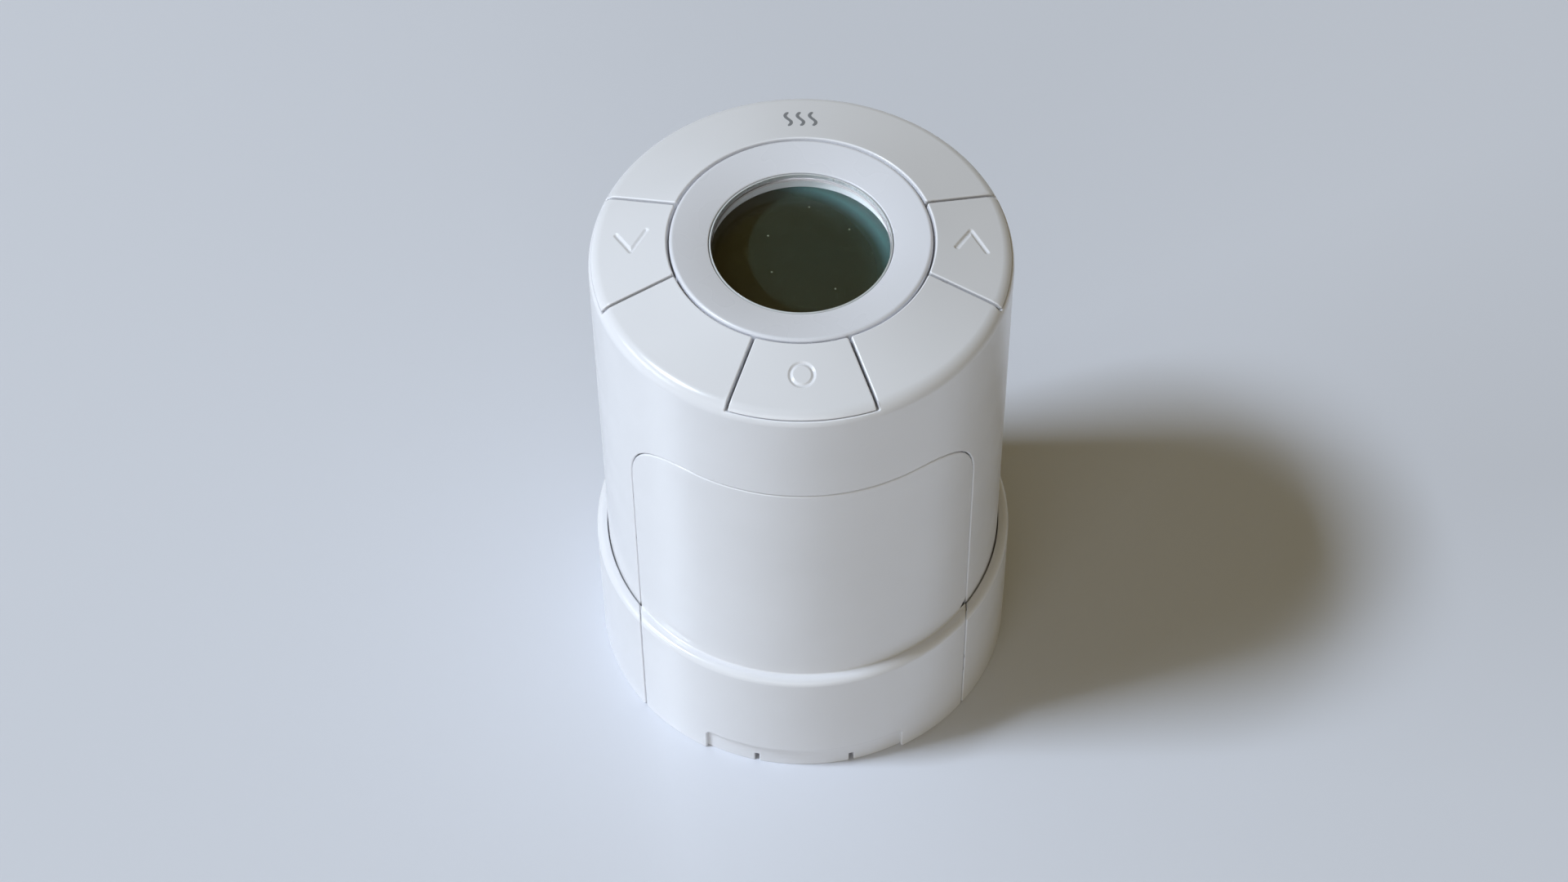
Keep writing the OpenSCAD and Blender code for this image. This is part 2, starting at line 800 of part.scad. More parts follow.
housing();
base_collar();
battery_cover();
cell_pad();
bezel_ring();
display_lens();
lens_seal();
lcd_frame();
lcd_cell();
light_guide();
lcd_connectors();
button_down();
button_up();
button_select();
tact_switch(-90);  // switch_down
tact_switch(90);  // switch_up
tact_switch(0);  // switch_select
switch_stem(-90);  // stem_down
switch_stem(90);  // stem_up
switch_stem(0);  // stem_select
main_pcb();
pcb_screws();
microcontroller();
radio_module();
antenna();
temperature_sensor();
chassis();
base_cover();
base_cover_screws();
battery_left();
battery_right();
contact_link();
contact_positive();
contact_spring();
motor();
motor_leads();
motor_pinion();
gearbox_base();
gearbox_cover();
gearbox_screws();
gear_pins();
lower_gear();
upper_gear();
drive_gear();
thrust_washer();
spindle();
spindle_tip();
coupling_bush();
coupling_nut();
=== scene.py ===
import json
import math

import bmesh
import bpy
import numpy as np
from mathutils import Matrix, Vector
from mathutils.geometry import delaunay_2d_cdt, tessellate_polygon
from mathutils.kdtree import KDTree


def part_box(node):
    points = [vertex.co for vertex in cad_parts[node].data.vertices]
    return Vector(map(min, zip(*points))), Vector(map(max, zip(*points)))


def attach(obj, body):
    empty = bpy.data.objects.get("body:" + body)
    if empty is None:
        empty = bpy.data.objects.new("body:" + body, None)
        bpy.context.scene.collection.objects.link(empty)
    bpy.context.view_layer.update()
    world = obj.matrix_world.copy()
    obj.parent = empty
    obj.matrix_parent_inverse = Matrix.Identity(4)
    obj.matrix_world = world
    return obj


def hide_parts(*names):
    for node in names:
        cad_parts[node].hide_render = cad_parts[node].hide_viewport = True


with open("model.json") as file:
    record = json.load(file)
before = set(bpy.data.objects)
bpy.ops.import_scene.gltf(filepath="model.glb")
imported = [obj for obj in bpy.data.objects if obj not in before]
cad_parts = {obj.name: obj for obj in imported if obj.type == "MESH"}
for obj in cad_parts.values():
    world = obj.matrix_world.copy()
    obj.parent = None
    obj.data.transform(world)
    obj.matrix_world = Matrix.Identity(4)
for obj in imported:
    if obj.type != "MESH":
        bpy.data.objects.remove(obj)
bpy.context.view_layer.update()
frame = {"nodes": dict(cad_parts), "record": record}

MM = 0.001

# ---------------------------------------------------------------- sizes, in millimetres
CREST_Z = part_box("bezel_ring")[1].z / MM
BODY_R = 25.5
COLLAR_R = 27.0
COLLAR_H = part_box("base_collar")[1].z / MM
GROOVE_R = 16.08
SLOPE = math.radians(15)
RIM_R = 2.0
RIM_SWEEP = 75.0
SHELL_T = 1.45
SHELL_EDGE = 0.18
SHOULDER = 0.9
HINGE_Z = CREST_Z - 3.2
COVER_HALF = 20.9
COVER_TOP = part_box("battery_cover")[1].z / MM
COVER_CORNER = 9.7
COVER_GAP = 0.13
COVER_IN_R = 23.95
BUTTON_HALF = 20.9
BUTTON_GAP = 0.36
SEAM_GAP = 0.1
SWITCH_AT = 19.6
BOSS_Z = (71.85, 72.75)
NOTCH_HALF = 28.3
NOTCH_H = 4.0
CAP_RELIEF = 0.16
FOOT_R = 26.5
SLOT_AT = 13.5
SLOT_HALF = 0.65
SLOT_H = 1.6
WINDOW_R = 11.06
LCD_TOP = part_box("lcd_cell")[1].z / MM
FILM_SPAN = 20.0
# Centres of the display's painted shadow crescent (the bezel's shadow, at the left) and painted blue-green
# reflection crescent (at the right), in millimetres.
FILM_SHADOW_AT = (3.9, 1.0)
FILM_REFLECTION_AT = (-3.6, -3.2)
LENS_EDGE = 0.2
LENS_GAP = 0.08
LENS_LOW = CREST_Z - 2.1
FLANGE_R = 16.4
FLANGE_TOP = CREST_Z - 2.3
FLANGE_LOW = CREST_Z - 2.7
CELL_X = 7.45
CELL_Y = -13.5
CELL_LOW = 13.2
CELL_HIGH = 63.7
PCB_LOW = 66.3
PCB_TOP = 67.5
SCREW_AT = 20.6
MOTOR_AT = (0.2834, 14.0597)


# ---------------------------------------------------------------- node helpers
def material(name):
    """A new node material, its tree and its Principled shader."""
    mat = bpy.data.materials.new(name)
    mat.use_nodes = True
    tree = mat.node_tree
    return mat, tree, tree.nodes["Principled BSDF"]


def add(tree, kind, **values):
    """A node of a kind, with sockets and properties set by name."""
    node = tree.nodes.new(kind)
    for key, value in values.items():
        if key in node.inputs:
            node.inputs[key].default_value = value
        else:
            setattr(node, key, value)
    return node


def ramp(tree, source, stops):
    """A colour ramp fed by a socket, with (position, colour) stops."""
    node = tree.nodes.new("ShaderNodeValToRGB")
    elements = node.color_ramp.elements
    while len(elements) < len(stops):
        elements.new(0.5)
    for element, (place, colour) in zip(elements, stops):
        element.position = place
        element.color = (*colour, 1.0) if len(colour) == 3 else colour
    tree.links.new(source, node.inputs["Fac"])
    return node.outputs["Color"]


def noise(tree, scale, detail=3.0, roughness=0.5, stretch=(1, 1, 1)):
    """Noise over the object's own coordinates, in metres. scale is in waves a millimetre."""
    coords = tree.nodes.new("ShaderNodeTexCoord")
    mapping = tree.nodes.new("ShaderNodeMapping")
    mapping.inputs["Scale"].default_value = [s * scale / MM for s in stretch]
    tree.links.new(coords.outputs["Object"], mapping.inputs["Vector"])
    node = add(tree, "ShaderNodeTexNoise", Scale=1.0, Detail=detail, Roughness=roughness)
    tree.links.new(mapping.outputs["Vector"], node.inputs["Vector"])
    return node.outputs["Fac"]


def add_bump(tree, shader, height, strength, distance):
    node = tree.nodes.new("ShaderNodeBump")
    node.inputs["Strength"].default_value = strength
    node.inputs["Distance"].default_value = distance * MM
    tree.links.new(height, node.inputs["Height"])
    tree.links.new(node.outputs["Normal"], shader.inputs["Normal"])


def set_gloss(tree, shader, source, rough, start=0.3, end=0.7):
    """Roughness that drifts between two values as source goes from start to end."""
    gloss = ramp(tree, source, [(start, (rough[0],) * 3), (end, (rough[1],) * 3)])
    tree.links.new(gloss, shader.inputs["Roughness"])


def edge_wear(tree, from_mesh):
    """Near 1 on outer edges and 0 elsewhere: from the mesh's own wear values, or from its pointiness."""
    if from_mesh:
        marks = add(tree, "ShaderNodeAttribute", attribute_name="wear")
        return ramp(tree, marks.outputs["Fac"], [(0.1, (0, 0, 0)), (0.9, (1, 1, 1))])
    geometry = tree.nodes.new("ShaderNodeNewGeometry")
    return ramp(tree, geometry.outputs["Pointiness"], [(0.53, (0, 0, 0)), (0.65, (1, 1, 1))])


def mix(tree, factor, first, second):
    """Colours or sockets mixed by a factor socket."""
    node = add(tree, "ShaderNodeMix", data_type="RGBA")
    tree.links.new(factor, node.inputs["Factor"])
    for socket, value in ((node.inputs[6], first), (node.inputs[7], second)):
        if hasattr(value, "is_linked"):
            tree.links.new(value, socket)
        else:
            socket.default_value = (*value, 1.0)
    return node.outputs[2]


def shade(colour, factor):
    return tuple(min(1.0, c * factor) for c in colour)


def moulded(name, colour, rough=(0.3, 0.4), grain=8.0, bump=0.004, drift=0.02, wear=1.05, from_mesh=False):
    """Moulded plastic: slow colour drift, fine texture of the tool, and paler outer edges."""
    mat, tree, shader = material(name)
    base = ramp(tree, noise(tree, 0.06, 2.0),
                [(0.3, shade(colour, 1 - drift)), (0.7, shade(colour, 1 + drift))])
    worn = mix(tree, edge_wear(tree, from_mesh), base, shade(colour, wear))
    tree.links.new(worn, shader.inputs["Base Color"])
    set_gloss(tree, shader, noise(tree, 0.12, 2.0), rough)
    add_bump(tree, shader, noise(tree, grain, 2.0), 0.3, bump)
    return mat


def metal(name, colour, rough=(0.22, 0.38), brushed=(1, 1, 14), bump=0.002, from_mesh=False):
    """Bright metal with brushing along one direction and slight stains."""
    mat, tree, shader = material(name)
    shader.inputs["Metallic"].default_value = 1.0
    base = ramp(tree, noise(tree, 0.3, 4.0), [(0.35, shade(colour, 0.88)), (0.65, shade(colour, 1.04))])
    worn = mix(tree, edge_wear(tree, from_mesh), base, shade(colour, 1.12))
    tree.links.new(worn, shader.inputs["Base Color"])
    lines = noise(tree, 2.2, 3.0, 0.6, brushed)
    set_gloss(tree, shader, lines, rough)
    add_bump(tree, shader, lines, 0.3, bump)
    return mat


def clear(name, colour, rough, ior):
    """Clear polished plastic or glass, with faint wiping marks."""
    mat, tree, shader = material(name)
    tint = ramp(tree, noise(tree, 0.1, 2.0), [(0.3, shade(colour, 0.99)), (0.7, colour)])
    tree.links.new(tint, shader.inputs["Base Color"])
    set_gloss(tree, shader, noise(tree, 0.25, 5.0, 0.6, (1, 3, 1)), (rough, rough + 0.05), 0.4, 0.75)
    add_bump(tree, shader, noise(tree, 0.2, 1.0), 0.1, 0.002)
    shader.inputs["Transmission Weight"].default_value = 1.0
    shader.inputs["IOR"].default_value = ior
    return mat


def distance_from(tree, socket, place):
    """How far a point is from place in the X Y plane, as a share of FILM_SPAN."""
    flat = add(tree, "ShaderNodeVectorMath", operation="MULTIPLY")
    flat.inputs[1].default_value = (1 / MM, 1 / MM, 0)
    tree.links.new(socket, flat.inputs[0])
    gap = add(tree, "ShaderNodeVectorMath", operation="DISTANCE")
    gap.inputs[1].default_value = (*place, 0)
    tree.links.new(flat.outputs[0], gap.inputs[0])
    scaled = add(tree, "ShaderNodeMath", operation="DIVIDE")
    scaled.inputs[1].default_value = FILM_SPAN
    tree.links.new(gap.outputs["Value"], scaled.inputs[0])
    return scaled.outputs[0]


def liquid_crystal(name):
    """The dark reflective display: green-black film with a painted bezel shadow as a dark crescent at the
    left, a painted blue-green reflection as a crescent at the right, and a few specks of dust."""
    mat, tree, shader = material(name)
    coords = tree.nodes.new("ShaderNodeTexCoord").outputs["Object"]
    # Painted shadow: the film's own green-black turns darker far from its centre, a crescent at the left where
    # the bezel's shadow falls.
    film = ramp(tree, distance_from(tree, coords, FILM_SHADOW_AT),
                [(0.0, (0.009, 0.014, 0.010)), (9.9 / FILM_SPAN, (0.010, 0.014, 0.009)),
                 (10.4 / FILM_SPAN, (0.004, 0.004, 0.001)), (1.0, (0.003, 0.003, 0.001))])
    # Painted reflection: a blue-green crescent near the right edge, added on top of the film.
    painted_teal_reflection = ramp(tree, distance_from(tree, coords, FILM_REFLECTION_AT),
                [(11.2 / FILM_SPAN, (0, 0, 0)), (13.2 / FILM_SPAN, (0.003, 0.010, 0.010)),
                 (14.5 / FILM_SPAN, (0.022, 0.068, 0.070)), (15.4 / FILM_SPAN, (0.006, 0.026, 0.027))])
    # The film with its painted shadow, plus the painted reflection.
    film_with_painted_light = add(tree, "ShaderNodeMix", data_type="RGBA", blend_type="ADD")
    film_with_painted_light.inputs["Factor"].default_value = 1.0
    tree.links.new(film, film_with_painted_light.inputs[6])
    tree.links.new(painted_teal_reflection, film_with_painted_light.inputs[7])
    cells = add(tree, "ShaderNodeTexVoronoi", voronoi_dimensions="2D", Scale=0.15 / MM)
    tree.links.new(coords, cells.inputs["Vector"])
    dust = ramp(tree, cells.outputs["Distance"], [(0.008, (0.55, 0.55, 0.55)), (0.02, (0, 0, 0))])
    tree.links.new(mix(tree, dust, film_with_painted_light.outputs[2], (0.30, 0.31, 0.22)), shader.inputs["Base Color"])
    set_gloss(tree, shader, noise(tree, 0.4, 4.0), (0.16, 0.24))
    add_bump(tree, shader, noise(tree, 0.5, 2.0), 0.1, 0.001)
    return mat


def board(name):
    """Green solder mask, with copper traces that show through it as slightly raised lines."""
    mat, tree, shader = material(name)
    coords = tree.nodes.new("ShaderNodeTexCoord")
    cells = add(tree, "ShaderNodeTexVoronoi", distance="MANHATTAN", feature="F1", Scale=0.35 / MM)
    tree.links.new(coords.outputs["Object"], cells.inputs["Vector"])
    traces = ramp(tree, cells.outputs["Distance"],
                  [(0.42, (0, 0, 0)), (0.46, (1, 1, 1)), (0.52, (1, 1, 1)), (0.56, (0, 0, 0))])
    mask = mix(tree, traces, (0.012, 0.10, 0.05), (0.03, 0.17, 0.08))
    tree.links.new(mask, shader.inputs["Base Color"])
    set_gloss(tree, shader, noise(tree, 0.4, 4.0), (0.24, 0.34))
    add_bump(tree, shader, traces, 0.5, 0.03)
    return mat


def wrapped(name, low, high, colours):
    """Printed film round a cell: bands along its length between two heights, in millimetres."""
    mat, tree, shader = material(name)
    coords = tree.nodes.new("ShaderNodeTexCoord")
    parts = tree.nodes.new("ShaderNodeSeparateXYZ")
    tree.links.new(coords.outputs["Object"], parts.inputs["Vector"])
    place = tree.nodes.new("ShaderNodeMapRange")
    place.inputs["From Min"].default_value = low * MM
    place.inputs["From Max"].default_value = high * MM
    tree.links.new(parts.outputs["Z"], place.inputs["Value"])
    dark, band, pale = colours
    bands = ramp(tree, place.outputs[0],
                 [(0.0, dark), (0.62, dark), (0.625, pale), (0.645, pale), (0.65, band), (1.0, band)])
    drift = ramp(tree, noise(tree, 0.2, 3.0), [(0.3, (0, 0, 0)), (0.7, (0.06, 0.06, 0.06))])
    tree.links.new(mix(tree, drift, bands, (0.7, 0.7, 0.7)), shader.inputs["Base Color"])
    set_gloss(tree, shader, noise(tree, 0.5, 4.0), (0.16, 0.28))
    add_bump(tree, shader, noise(tree, 0.6, 3.0, 0.5, (1, 1, 0.3)), 0.2, 0.01)
    return mat


# ---------------------------------------------------------------- mesh helpers
class Section:
    """A half section of a body of revolution, walked by arc length from its first point.
    Pieces are ("line", start, end) or ("arc", centre, radius, from angle, to angle), angles in degrees."""

    def __init__(self, *pieces):
        self.pieces = []
        self.length = 0.0
        for piece in pieces:
            if piece[0] == "line":
                size = math.dist(piece[1], piece[2])
            else:
                size = piece[2] * abs(math.radians(piece[4] - piece[3]))
            self.pieces.append((self.length, size, piece))
            self.length += size

    def at(self, s):
        """Radius, height and the outward normal's two parts at arc length s."""
        for start, size, piece in self.pieces:
            if s <= start + size or piece is self.pieces[-1][2]:
                t = (s - start) / size
                break
        if piece[0] == "line":
            (r0, z0), (r1, z1) = piece[1], piece[2]
            dr, dz = (r1 - r0) / size, (z1 - z0) / size
            return r0 + (r1 - r0) * t, z0 + (z1 - z0) * t, -dz, dr
        angle = math.radians(piece[3] + (piece[4] - piece[3]) * t)
        side = 1 if piece[4] < piece[3] else -1
        c, s_ = math.cos(angle), math.sin(angle)
        return piece[1][0] + piece[2] * c, piece[1][1] + piece[2] * s_, side * c, side * s_

    def marks(self, step):
        """Arc lengths for a smooth mesh: close together on arcs, and step apart on lines."""
        out = [0.0]
        for start, size, piece in self.pieces:
            count = max(1, math.ceil(size / step)) if piece[0] == "line" else max(
                3, math.ceil(abs(piece[4] - piece[3]) / 7.5))
            out += [start + size * (i + 1) / count for i in range(count)]
        return out


def direction(theta):
    """Outward and sideways unit vectors at an angle from the front, in degrees, positive to the right."""
    a = math.radians(theta)
    return np.array([math.sin(a), -math.cos(a), 0.0]), np.array([math.cos(a), math.sin(a), 0.0])


def around(angle, r):
    """X and Y of a point at an angle from the front and a radius."""
    out, _ = direction(angle)
    return out[0] * r, out[1] * r


def frame_at(section, theta, s):
    """Point, normal, sideways and downward unit vectors of the surface."""
    r, z, nr, nz = section.at(s)
    out, side = direction(theta)
    up = np.array([0.0, 0.0, 1.0])
    return out * r + up * z, out * nr + up * nz, side, out * nz - up * nr


def densify(points, section, closed):
    """Adds points along a chain of (angle, s), so that it follows the curved surface."""
    out = []
    count = len(points)
    for i in range(count if closed else count - 1):
        (t0, s0), (t1, s1) = points[i], points[(i + 1) % count]
        r = max(section.at(s0)[0], 1.0)
        across, along = abs(t1 - t0) * math.pi / 180 * r, abs(s1 - s0)
        steps = max(1, math.ceil(across / 0.7), math.ceil(along / 1.2))
        out += [(t0 + (t1 - t0) * k / steps, s0 + (s1 - s0) * k / steps) for k in range(steps)]
    if not closed:
        out.append(points[-1])
    return out


def corner_arc(at, a, b, radius, step, least, straight=180):
    """Points round a corner, where a and b lead to its neighbours. step is in degrees, least is the fewest
    steps, and a corner whose half angle is over straight stays as it is."""
    a, b = a / np.linalg.norm(a), b / np.linalg.norm(b)
    half = math.acos(max(-1.0, min(1.0, float(a @ b)))) / 2
    if half > math.radians(straight):
        return [tuple(at)]
    reach = radius / math.tan(half)
    centre = (a + b) / np.linalg.norm(a + b) * radius / math.sin(half)
    start, end = a * reach - centre, b * reach - centre
    sweep = math.pi - 2 * half
    sign = 1 if start[0] * end[1] - start[1] * end[0] > 0 else -1
    steps = max(least, math.ceil(math.degrees(sweep) / step))
    out = []
    for j in range(steps + 1):
        angle = sign * sweep * j / steps
        c, n = math.cos(angle), math.sin(angle)
        out.append((at[0] + centre[0] + start[0] * c - start[1] * n,
                    at[1] + centre[1] + start[0] * n + start[1] * c))
    return out


def rounded(corners, section, closed=True):
    """A chain of (angle, s, radius) corners with each corner rounded on the surface."""
    out = []
    count = len(corners)
    for i, (t, s, radius) in enumerate(corners):
        if radius <= 0 or (not closed and i in (0, count - 1)):
            out.append((t, s))
            continue
        k = section.at(s)[0] * math.pi / 180
        before, after = corners[i - 1], corners[(i + 1) % count]
        a = np.array([(before[0] - t) * k, before[1] - s])
        b = np.array([(after[0] - t) * k, after[1] - s])
        out += [(t + x / k, s + y) for x, y in corner_arc((0.0, 0.0), a, b, radius, 11, 3, straight=88)]
    return out


def inward(chain, section, closed, side):
    """For each point of a chain, the unit step into the piece, as (across, along) in millimetres."""
    steps = []
    count = len(chain)
    for i, (_, s) in enumerate(chain):
        before = chain[i - 1] if closed or i else chain[i]
        after = chain[(i + 1) % count] if closed or i < count - 1 else chain[i]
        k = section.at(s)[0] * math.pi / 180
        tangent = np.array([(after[0] - before[0]) * k, after[1] - before[1]])
        tangent /= np.linalg.norm(tangent)
        steps.append((-tangent[1] * side, tangent[0] * side))
    return steps


def signed_area(points):
    return 0.5 * sum(a[0] * b[1] - b[0] * a[1] for a, b in zip(points, points[1:] + points[:1]))


def inside_polygon(points, polygon):
    """Which of the points lie in a polygon."""
    x, y = points[:, 0], points[:, 1]
    hit = np.zeros(len(points), bool)
    for (x1, y1), (x2, y2) in zip(polygon, polygon[1:] + polygon[:1]):
        crosses = (y1 > y) != (y2 > y)
        if y1 != y2:
            hit ^= crosses & (x < (x2 - x1) * (y - y1) / (y2 - y1) + x1)
    return hit


def new_object(name, data):
    """An object for mesh, light or camera data, linked to the scene."""
    obj = bpy.data.objects.new(name, data)
    bpy.context.scene.collection.objects.link(obj)
    return obj


def object_from(name, bm):
    """An object from a bmesh, which is freed."""
    mesh = bpy.data.meshes.new(name)
    bm.to_mesh(mesh)
    bm.free()
    return new_object(name, mesh)


def bridge(bm, a, b):
    """Faces between two rings with as many points each."""
    for k in range(len(a)):
        after = (k + 1) % len(a)
        bm.faces.new((a[k], b[k], b[after], a[after]))


def new_mesh(name, verts, faces, normals=None):
    """A smooth mesh object from points in millimetres, with a normal for each face corner."""
    mesh = bpy.data.meshes.new(name)
    mesh.from_pydata([tuple(float(c) * MM for c in v) for v in verts], [], faces)
    mesh.update()
    mesh.shade_smooth()
    if normals is not None:
        mesh.normals_split_custom_set([tuple(map(float, n)) for n in normals])
    return new_object(name, mesh)


def skin_piece(name, section, chains, inner, edge=0.2, steps=(1.5, 2.5), sink=None, fine=None):
    """A shell with rounded edges: the part of a surface of revolution that chains enclose.
    chains are lists of (angle, s). One closed chain goes round the piece; two open ones run across the
    whole turn, above and below it. inner gives the inside's radius and height from a point on the surface.
    sink gives how deep the surface is sunk at (angle, s), and fine the extra points that it needs."""
    closed = len(chains) == 1
    region = list(chains[0]) if closed else list(chains[0]) + list(chains[1])
    turn = 1 if signed_area(region) > 0 else -1
    levels = [0.0, 22.5, 45.0, 67.5, 90.0]
    theta, arc, drop, tilt, out_dir = [], [], [], [], []
    edges, rims = [], []
    for chain in chains:
        chain = densify(chain, section, closed)
        steps_in = inward(chain, section, closed, turn)
        for level in levels:
            a = math.radians(90 - level)
            delta, depth = edge * (1 - math.sin(a)), edge * (1 - math.cos(a))
            first = len(theta)
            for (t, s), (ux, uy) in zip(chain, steps_in):
                k = section.at(s)[0] * math.pi / 180
                theta.append(t + ux * delta / k)
                arc.append(s + uy * delta)
                drop.append(depth)
                tilt.append(a)
                out_dir.append((-ux, -uy))
            count = len(chain)
            edges += [(first + i, first + (i + 1) % count) for i in range(count if closed else count - 1)]
            if level == 0.0:
                rims.append((first, count))
    rim_points = KDTree(len(theta))
    for i, (t, s) in enumerate(zip(theta, arc)):
        rim_points.insert(Vector(frame_at(section, t, s)[0]), i)
    rim_points.balance()
    t_low, t_high = min(p[0] for p in region), max(p[0] for p in region)
    columns = max(2, math.ceil((t_high - t_low) / steps[0]))
    grid = [(t_low + (t_high - t_low) * i / columns, s)
            for s in section.marks(steps[1]) for i in range(columns + 1)]
    if fine:
        grid = [p for p in grid if not fine["covers"](*p)] + fine["points"]
    hits = inside_polygon(np.array(grid), region)
    on_cut = [not closed and (abs(p[0] - t_low) < 1e-6 or abs(p[0] - t_high) < 1e-6) for p in grid]
    s_low, s_high = min(p[1] for p in region), max(p[1] for p in region)
    clear = 2.2 * edge
    for p, hit, cut in zip(grid, hits, on_cut):
        if not (hit or (cut and s_low < p[1] < s_high)):
            continue
        if rim_points.find(Vector(frame_at(section, *p)[0]))[2] < clear:
            continue
        theta.append(p[0])
        arc.append(p[1])
        drop.append(0.0)
        tilt.append(0.0)
        out_dir.append((0.0, 0.0))
    scale = BODY_R * math.pi / 180
    flat = [Vector((t * scale, s)) for t, s in zip(theta, arc)]
    verts2, _, tris, origin, _, _ = delaunay_2d_cdt(flat, edges, [], 0, 1e-5)
    source = [o[0] if o else -1 for o in origin]
    centres = np.array([[sum(verts2[i][k] for i in tri) / 3 for k in (0, 1)] for tri in tris])
    keep = inside_polygon(centres, [(t * scale, s) for t, s in region_dense(chains, section, closed)])
    tris = [tri for tri, ok in zip(tris, keep) if ok and all(source[i] >= 0 for i in tri)]
    tris = [tuple(source[i] for i in tri) for tri in tris]

    used = sorted({i for tri in tris for i in tri})
    outer, normal_out, inside_points, normal_in, wall_normal = {}, {}, {}, {}, {}
    for i in used:
        p, n, side, down = frame_at(section, theta[i], arc[i])
        away = side * out_dir[i][0] + down * out_dir[i][1]
        depth = drop[i] + (sink(theta[i], arc[i]) if sink else 0.0)
        outer[i] = p - n * depth
        tilted = n * math.cos(tilt[i]) + away * math.sin(tilt[i])
        if sink and tilt[i] == 0.0:
            h = 0.02
            k = section.at(arc[i])[0] * math.pi / 180
            gx = (sink(theta[i] + h / k, arc[i]) - sink(theta[i] - h / k, arc[i])) / (2 * h)
            gy = (sink(theta[i], arc[i] + h) - sink(theta[i], arc[i] - h)) / (2 * h)
            tilted = n + side * gx + down * gy
        normal_out[i] = tilted / np.linalg.norm(tilted)
        r_in, z_in = inner(*section.at(arc[i]))
        radial, _ = direction(theta[i])
        inside_points[i] = radial * r_in + np.array([0, 0, z_in])
        normal_in[i] = -n
        wall_normal[i] = away
    weld, verts = {}, []

    def index(point):
        key = tuple(np.round(point, 5))
        if key not in weld:
            weld[key] = len(verts)
            verts.append(point)
        return weld[key]

    top = {i: index(outer[i]) for i in used}
    low = {i: index(inside_points[i]) for i in used}
    faces, normals = [], []
    for tri in tris:
        a, b, c = (outer[i] for i in tri)
        if np.dot(np.cross(b - a, c - a), normal_out[tri[0]] + normal_out[tri[1]] + normal_out[tri[2]]) < 0:
            tri = tri[::-1]
        if len({top[i] for i in tri}) == 3:
            faces.append([top[i] for i in tri])
            normals += [normal_out[i] for i in tri]
        if len({low[i] for i in tri}) == 3:
            faces.append([low[i] for i in tri[::-1]])
            normals += [normal_in[i] for i in tri[::-1]]
    for first, count in rims:
        for k in range(count if closed else count - 1):
            i, j = first + k, first + (k + 1) % count
            if i not in top or j not in top:
                continue
            a, b, c = outer[i], outer[j], inside_points[j]
            quad = [i, j]
            if np.dot(np.cross(b - a, c - a), wall_normal[i]) < 0:
                quad = [j, i]
            i, j = quad
            faces.append([top[i], top[j], low[j], low[i]])
            normals += [wall_normal[i], wall_normal[j], wall_normal[j], wall_normal[i]]
    return new_mesh(name, verts, faces, normals)


def region_dense(chains, section, closed):
    out = []
    for chain in chains:
        out += densify(chain, section, closed)
    return out


def fillet(points, radii, step=11):
    """A polyline with its corners rounded, in two dimensions. Radii of 0 keep a corner sharp."""
    out = []
    count = len(points)
    for i, (point, radius) in enumerate(zip(points, radii)):
        p = np.array(point, float)
        if radius <= 0:
            out.append(tuple(p))
            continue
        a = np.array(points[i - 1], float) - p
        b = np.array(points[(i + 1) % count], float) - p
        out += corner_arc(p, a, b, radius, step, 2)
    return out


def lathe(name, outline, segments=192, at=(0.0, 0.0), smooth_angle=30.0, arc=360.0, start=0.0):
    """A closed outline of (radius, height) turned about a vertical axis at a point."""
    full = arc >= 360.0
    bm = bmesh.new()
    rows = []
    for i in range(segments if full else segments + 1):
        out, _ = direction(start + arc * i / segments)
        row = []
        for r, z in outline:
            if r < 1e-6 and full and i:
                row.append(rows[0][len(row)])
                continue
            row.append(bm.verts.new(((at[0] + out[0] * r) * MM, (at[1] + out[1] * r) * MM, z * MM)))
        rows.append(row)
    count = len(outline)
    for i in range(segments):
        a, b = rows[i], rows[(i + 1) % len(rows)]
        for j in range(count):
            quad = [a[j], b[j], b[(j + 1) % count], a[(j + 1) % count]]
            unique = list(dict.fromkeys(quad))
            if len(unique) > 2:
                try:
                    bm.faces.new(unique)
                except ValueError:
                    pass
    if not full:
        bm.faces.new(rows[0])
        bm.faces.new(rows[-1][::-1])
    bmesh.ops.recalc_face_normals(bm, faces=bm.faces)
    return finish_bmesh(name, bm, smooth_angle)


def finish_bmesh(name, bm, smooth_angle=30.0):
    """Turns a bmesh into an object, with edges sharper than an angle marked sharp."""
    for face in bm.faces:
        face.smooth = True
    for edge in bm.edges:
        if len(edge.link_faces) == 2 and edge.calc_face_angle(0.0) > math.radians(smooth_angle):
            edge.smooth = False
    return object_from(name, bm)


def mark_wear(obj):
    """Stores how sharp a convex edge each vertex stands on, for the materials' edge wear."""
    bm = bmesh.new()
    bm.from_mesh(obj.data)
    values = [0.0] * len(bm.verts)
    for edge in bm.edges:
        if len(edge.link_faces) == 2:
            turn = math.degrees(edge.calc_face_angle_signed(0.0))
            for vert in edge.verts:
                values[vert.index] = max(values[vert.index], min(1.0, max(0.0, (turn - 8.0) / 15.0)))
    bm.free()
    marks = obj.data.attributes.new("wear", "FLOAT", "POINT")
    marks.data.foreach_set("value", values)


def piece(obj, mat, body, slot, *replaced):
    """Gives a piece its material and body, and hides the CAD nodes that it stands for; slot is not used."""
    mark_wear(obj)
    obj.data.materials.clear()
    obj.data.materials.append(mat)
    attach(obj, body)
    if replaced:
        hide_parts(*replaced)
    return obj


# ---------------------------------------------------------------- the outer shell
def top_z(r):
    return CREST_Z - 0.1 - (r - GROOVE_R) * math.tan(SLOPE)


def body_section():
    """From the groove round the bezel, down the sloping top, over the rim and down the wall."""
    centre = (BODY_R - RIM_R, top_z(BODY_R - RIM_R) - RIM_R / math.cos(SLOPE))
    meet = (centre[0] + RIM_R * math.sin(SLOPE), centre[1] + RIM_R * math.cos(SLOPE))
    return Section(("line", (GROOVE_R, top_z(GROOVE_R)), meet),
                   ("arc", centre, RIM_R, RIM_SWEEP, 0.0),
                   ("line", (BODY_R, centre[1]), (BODY_R, 1.0)))


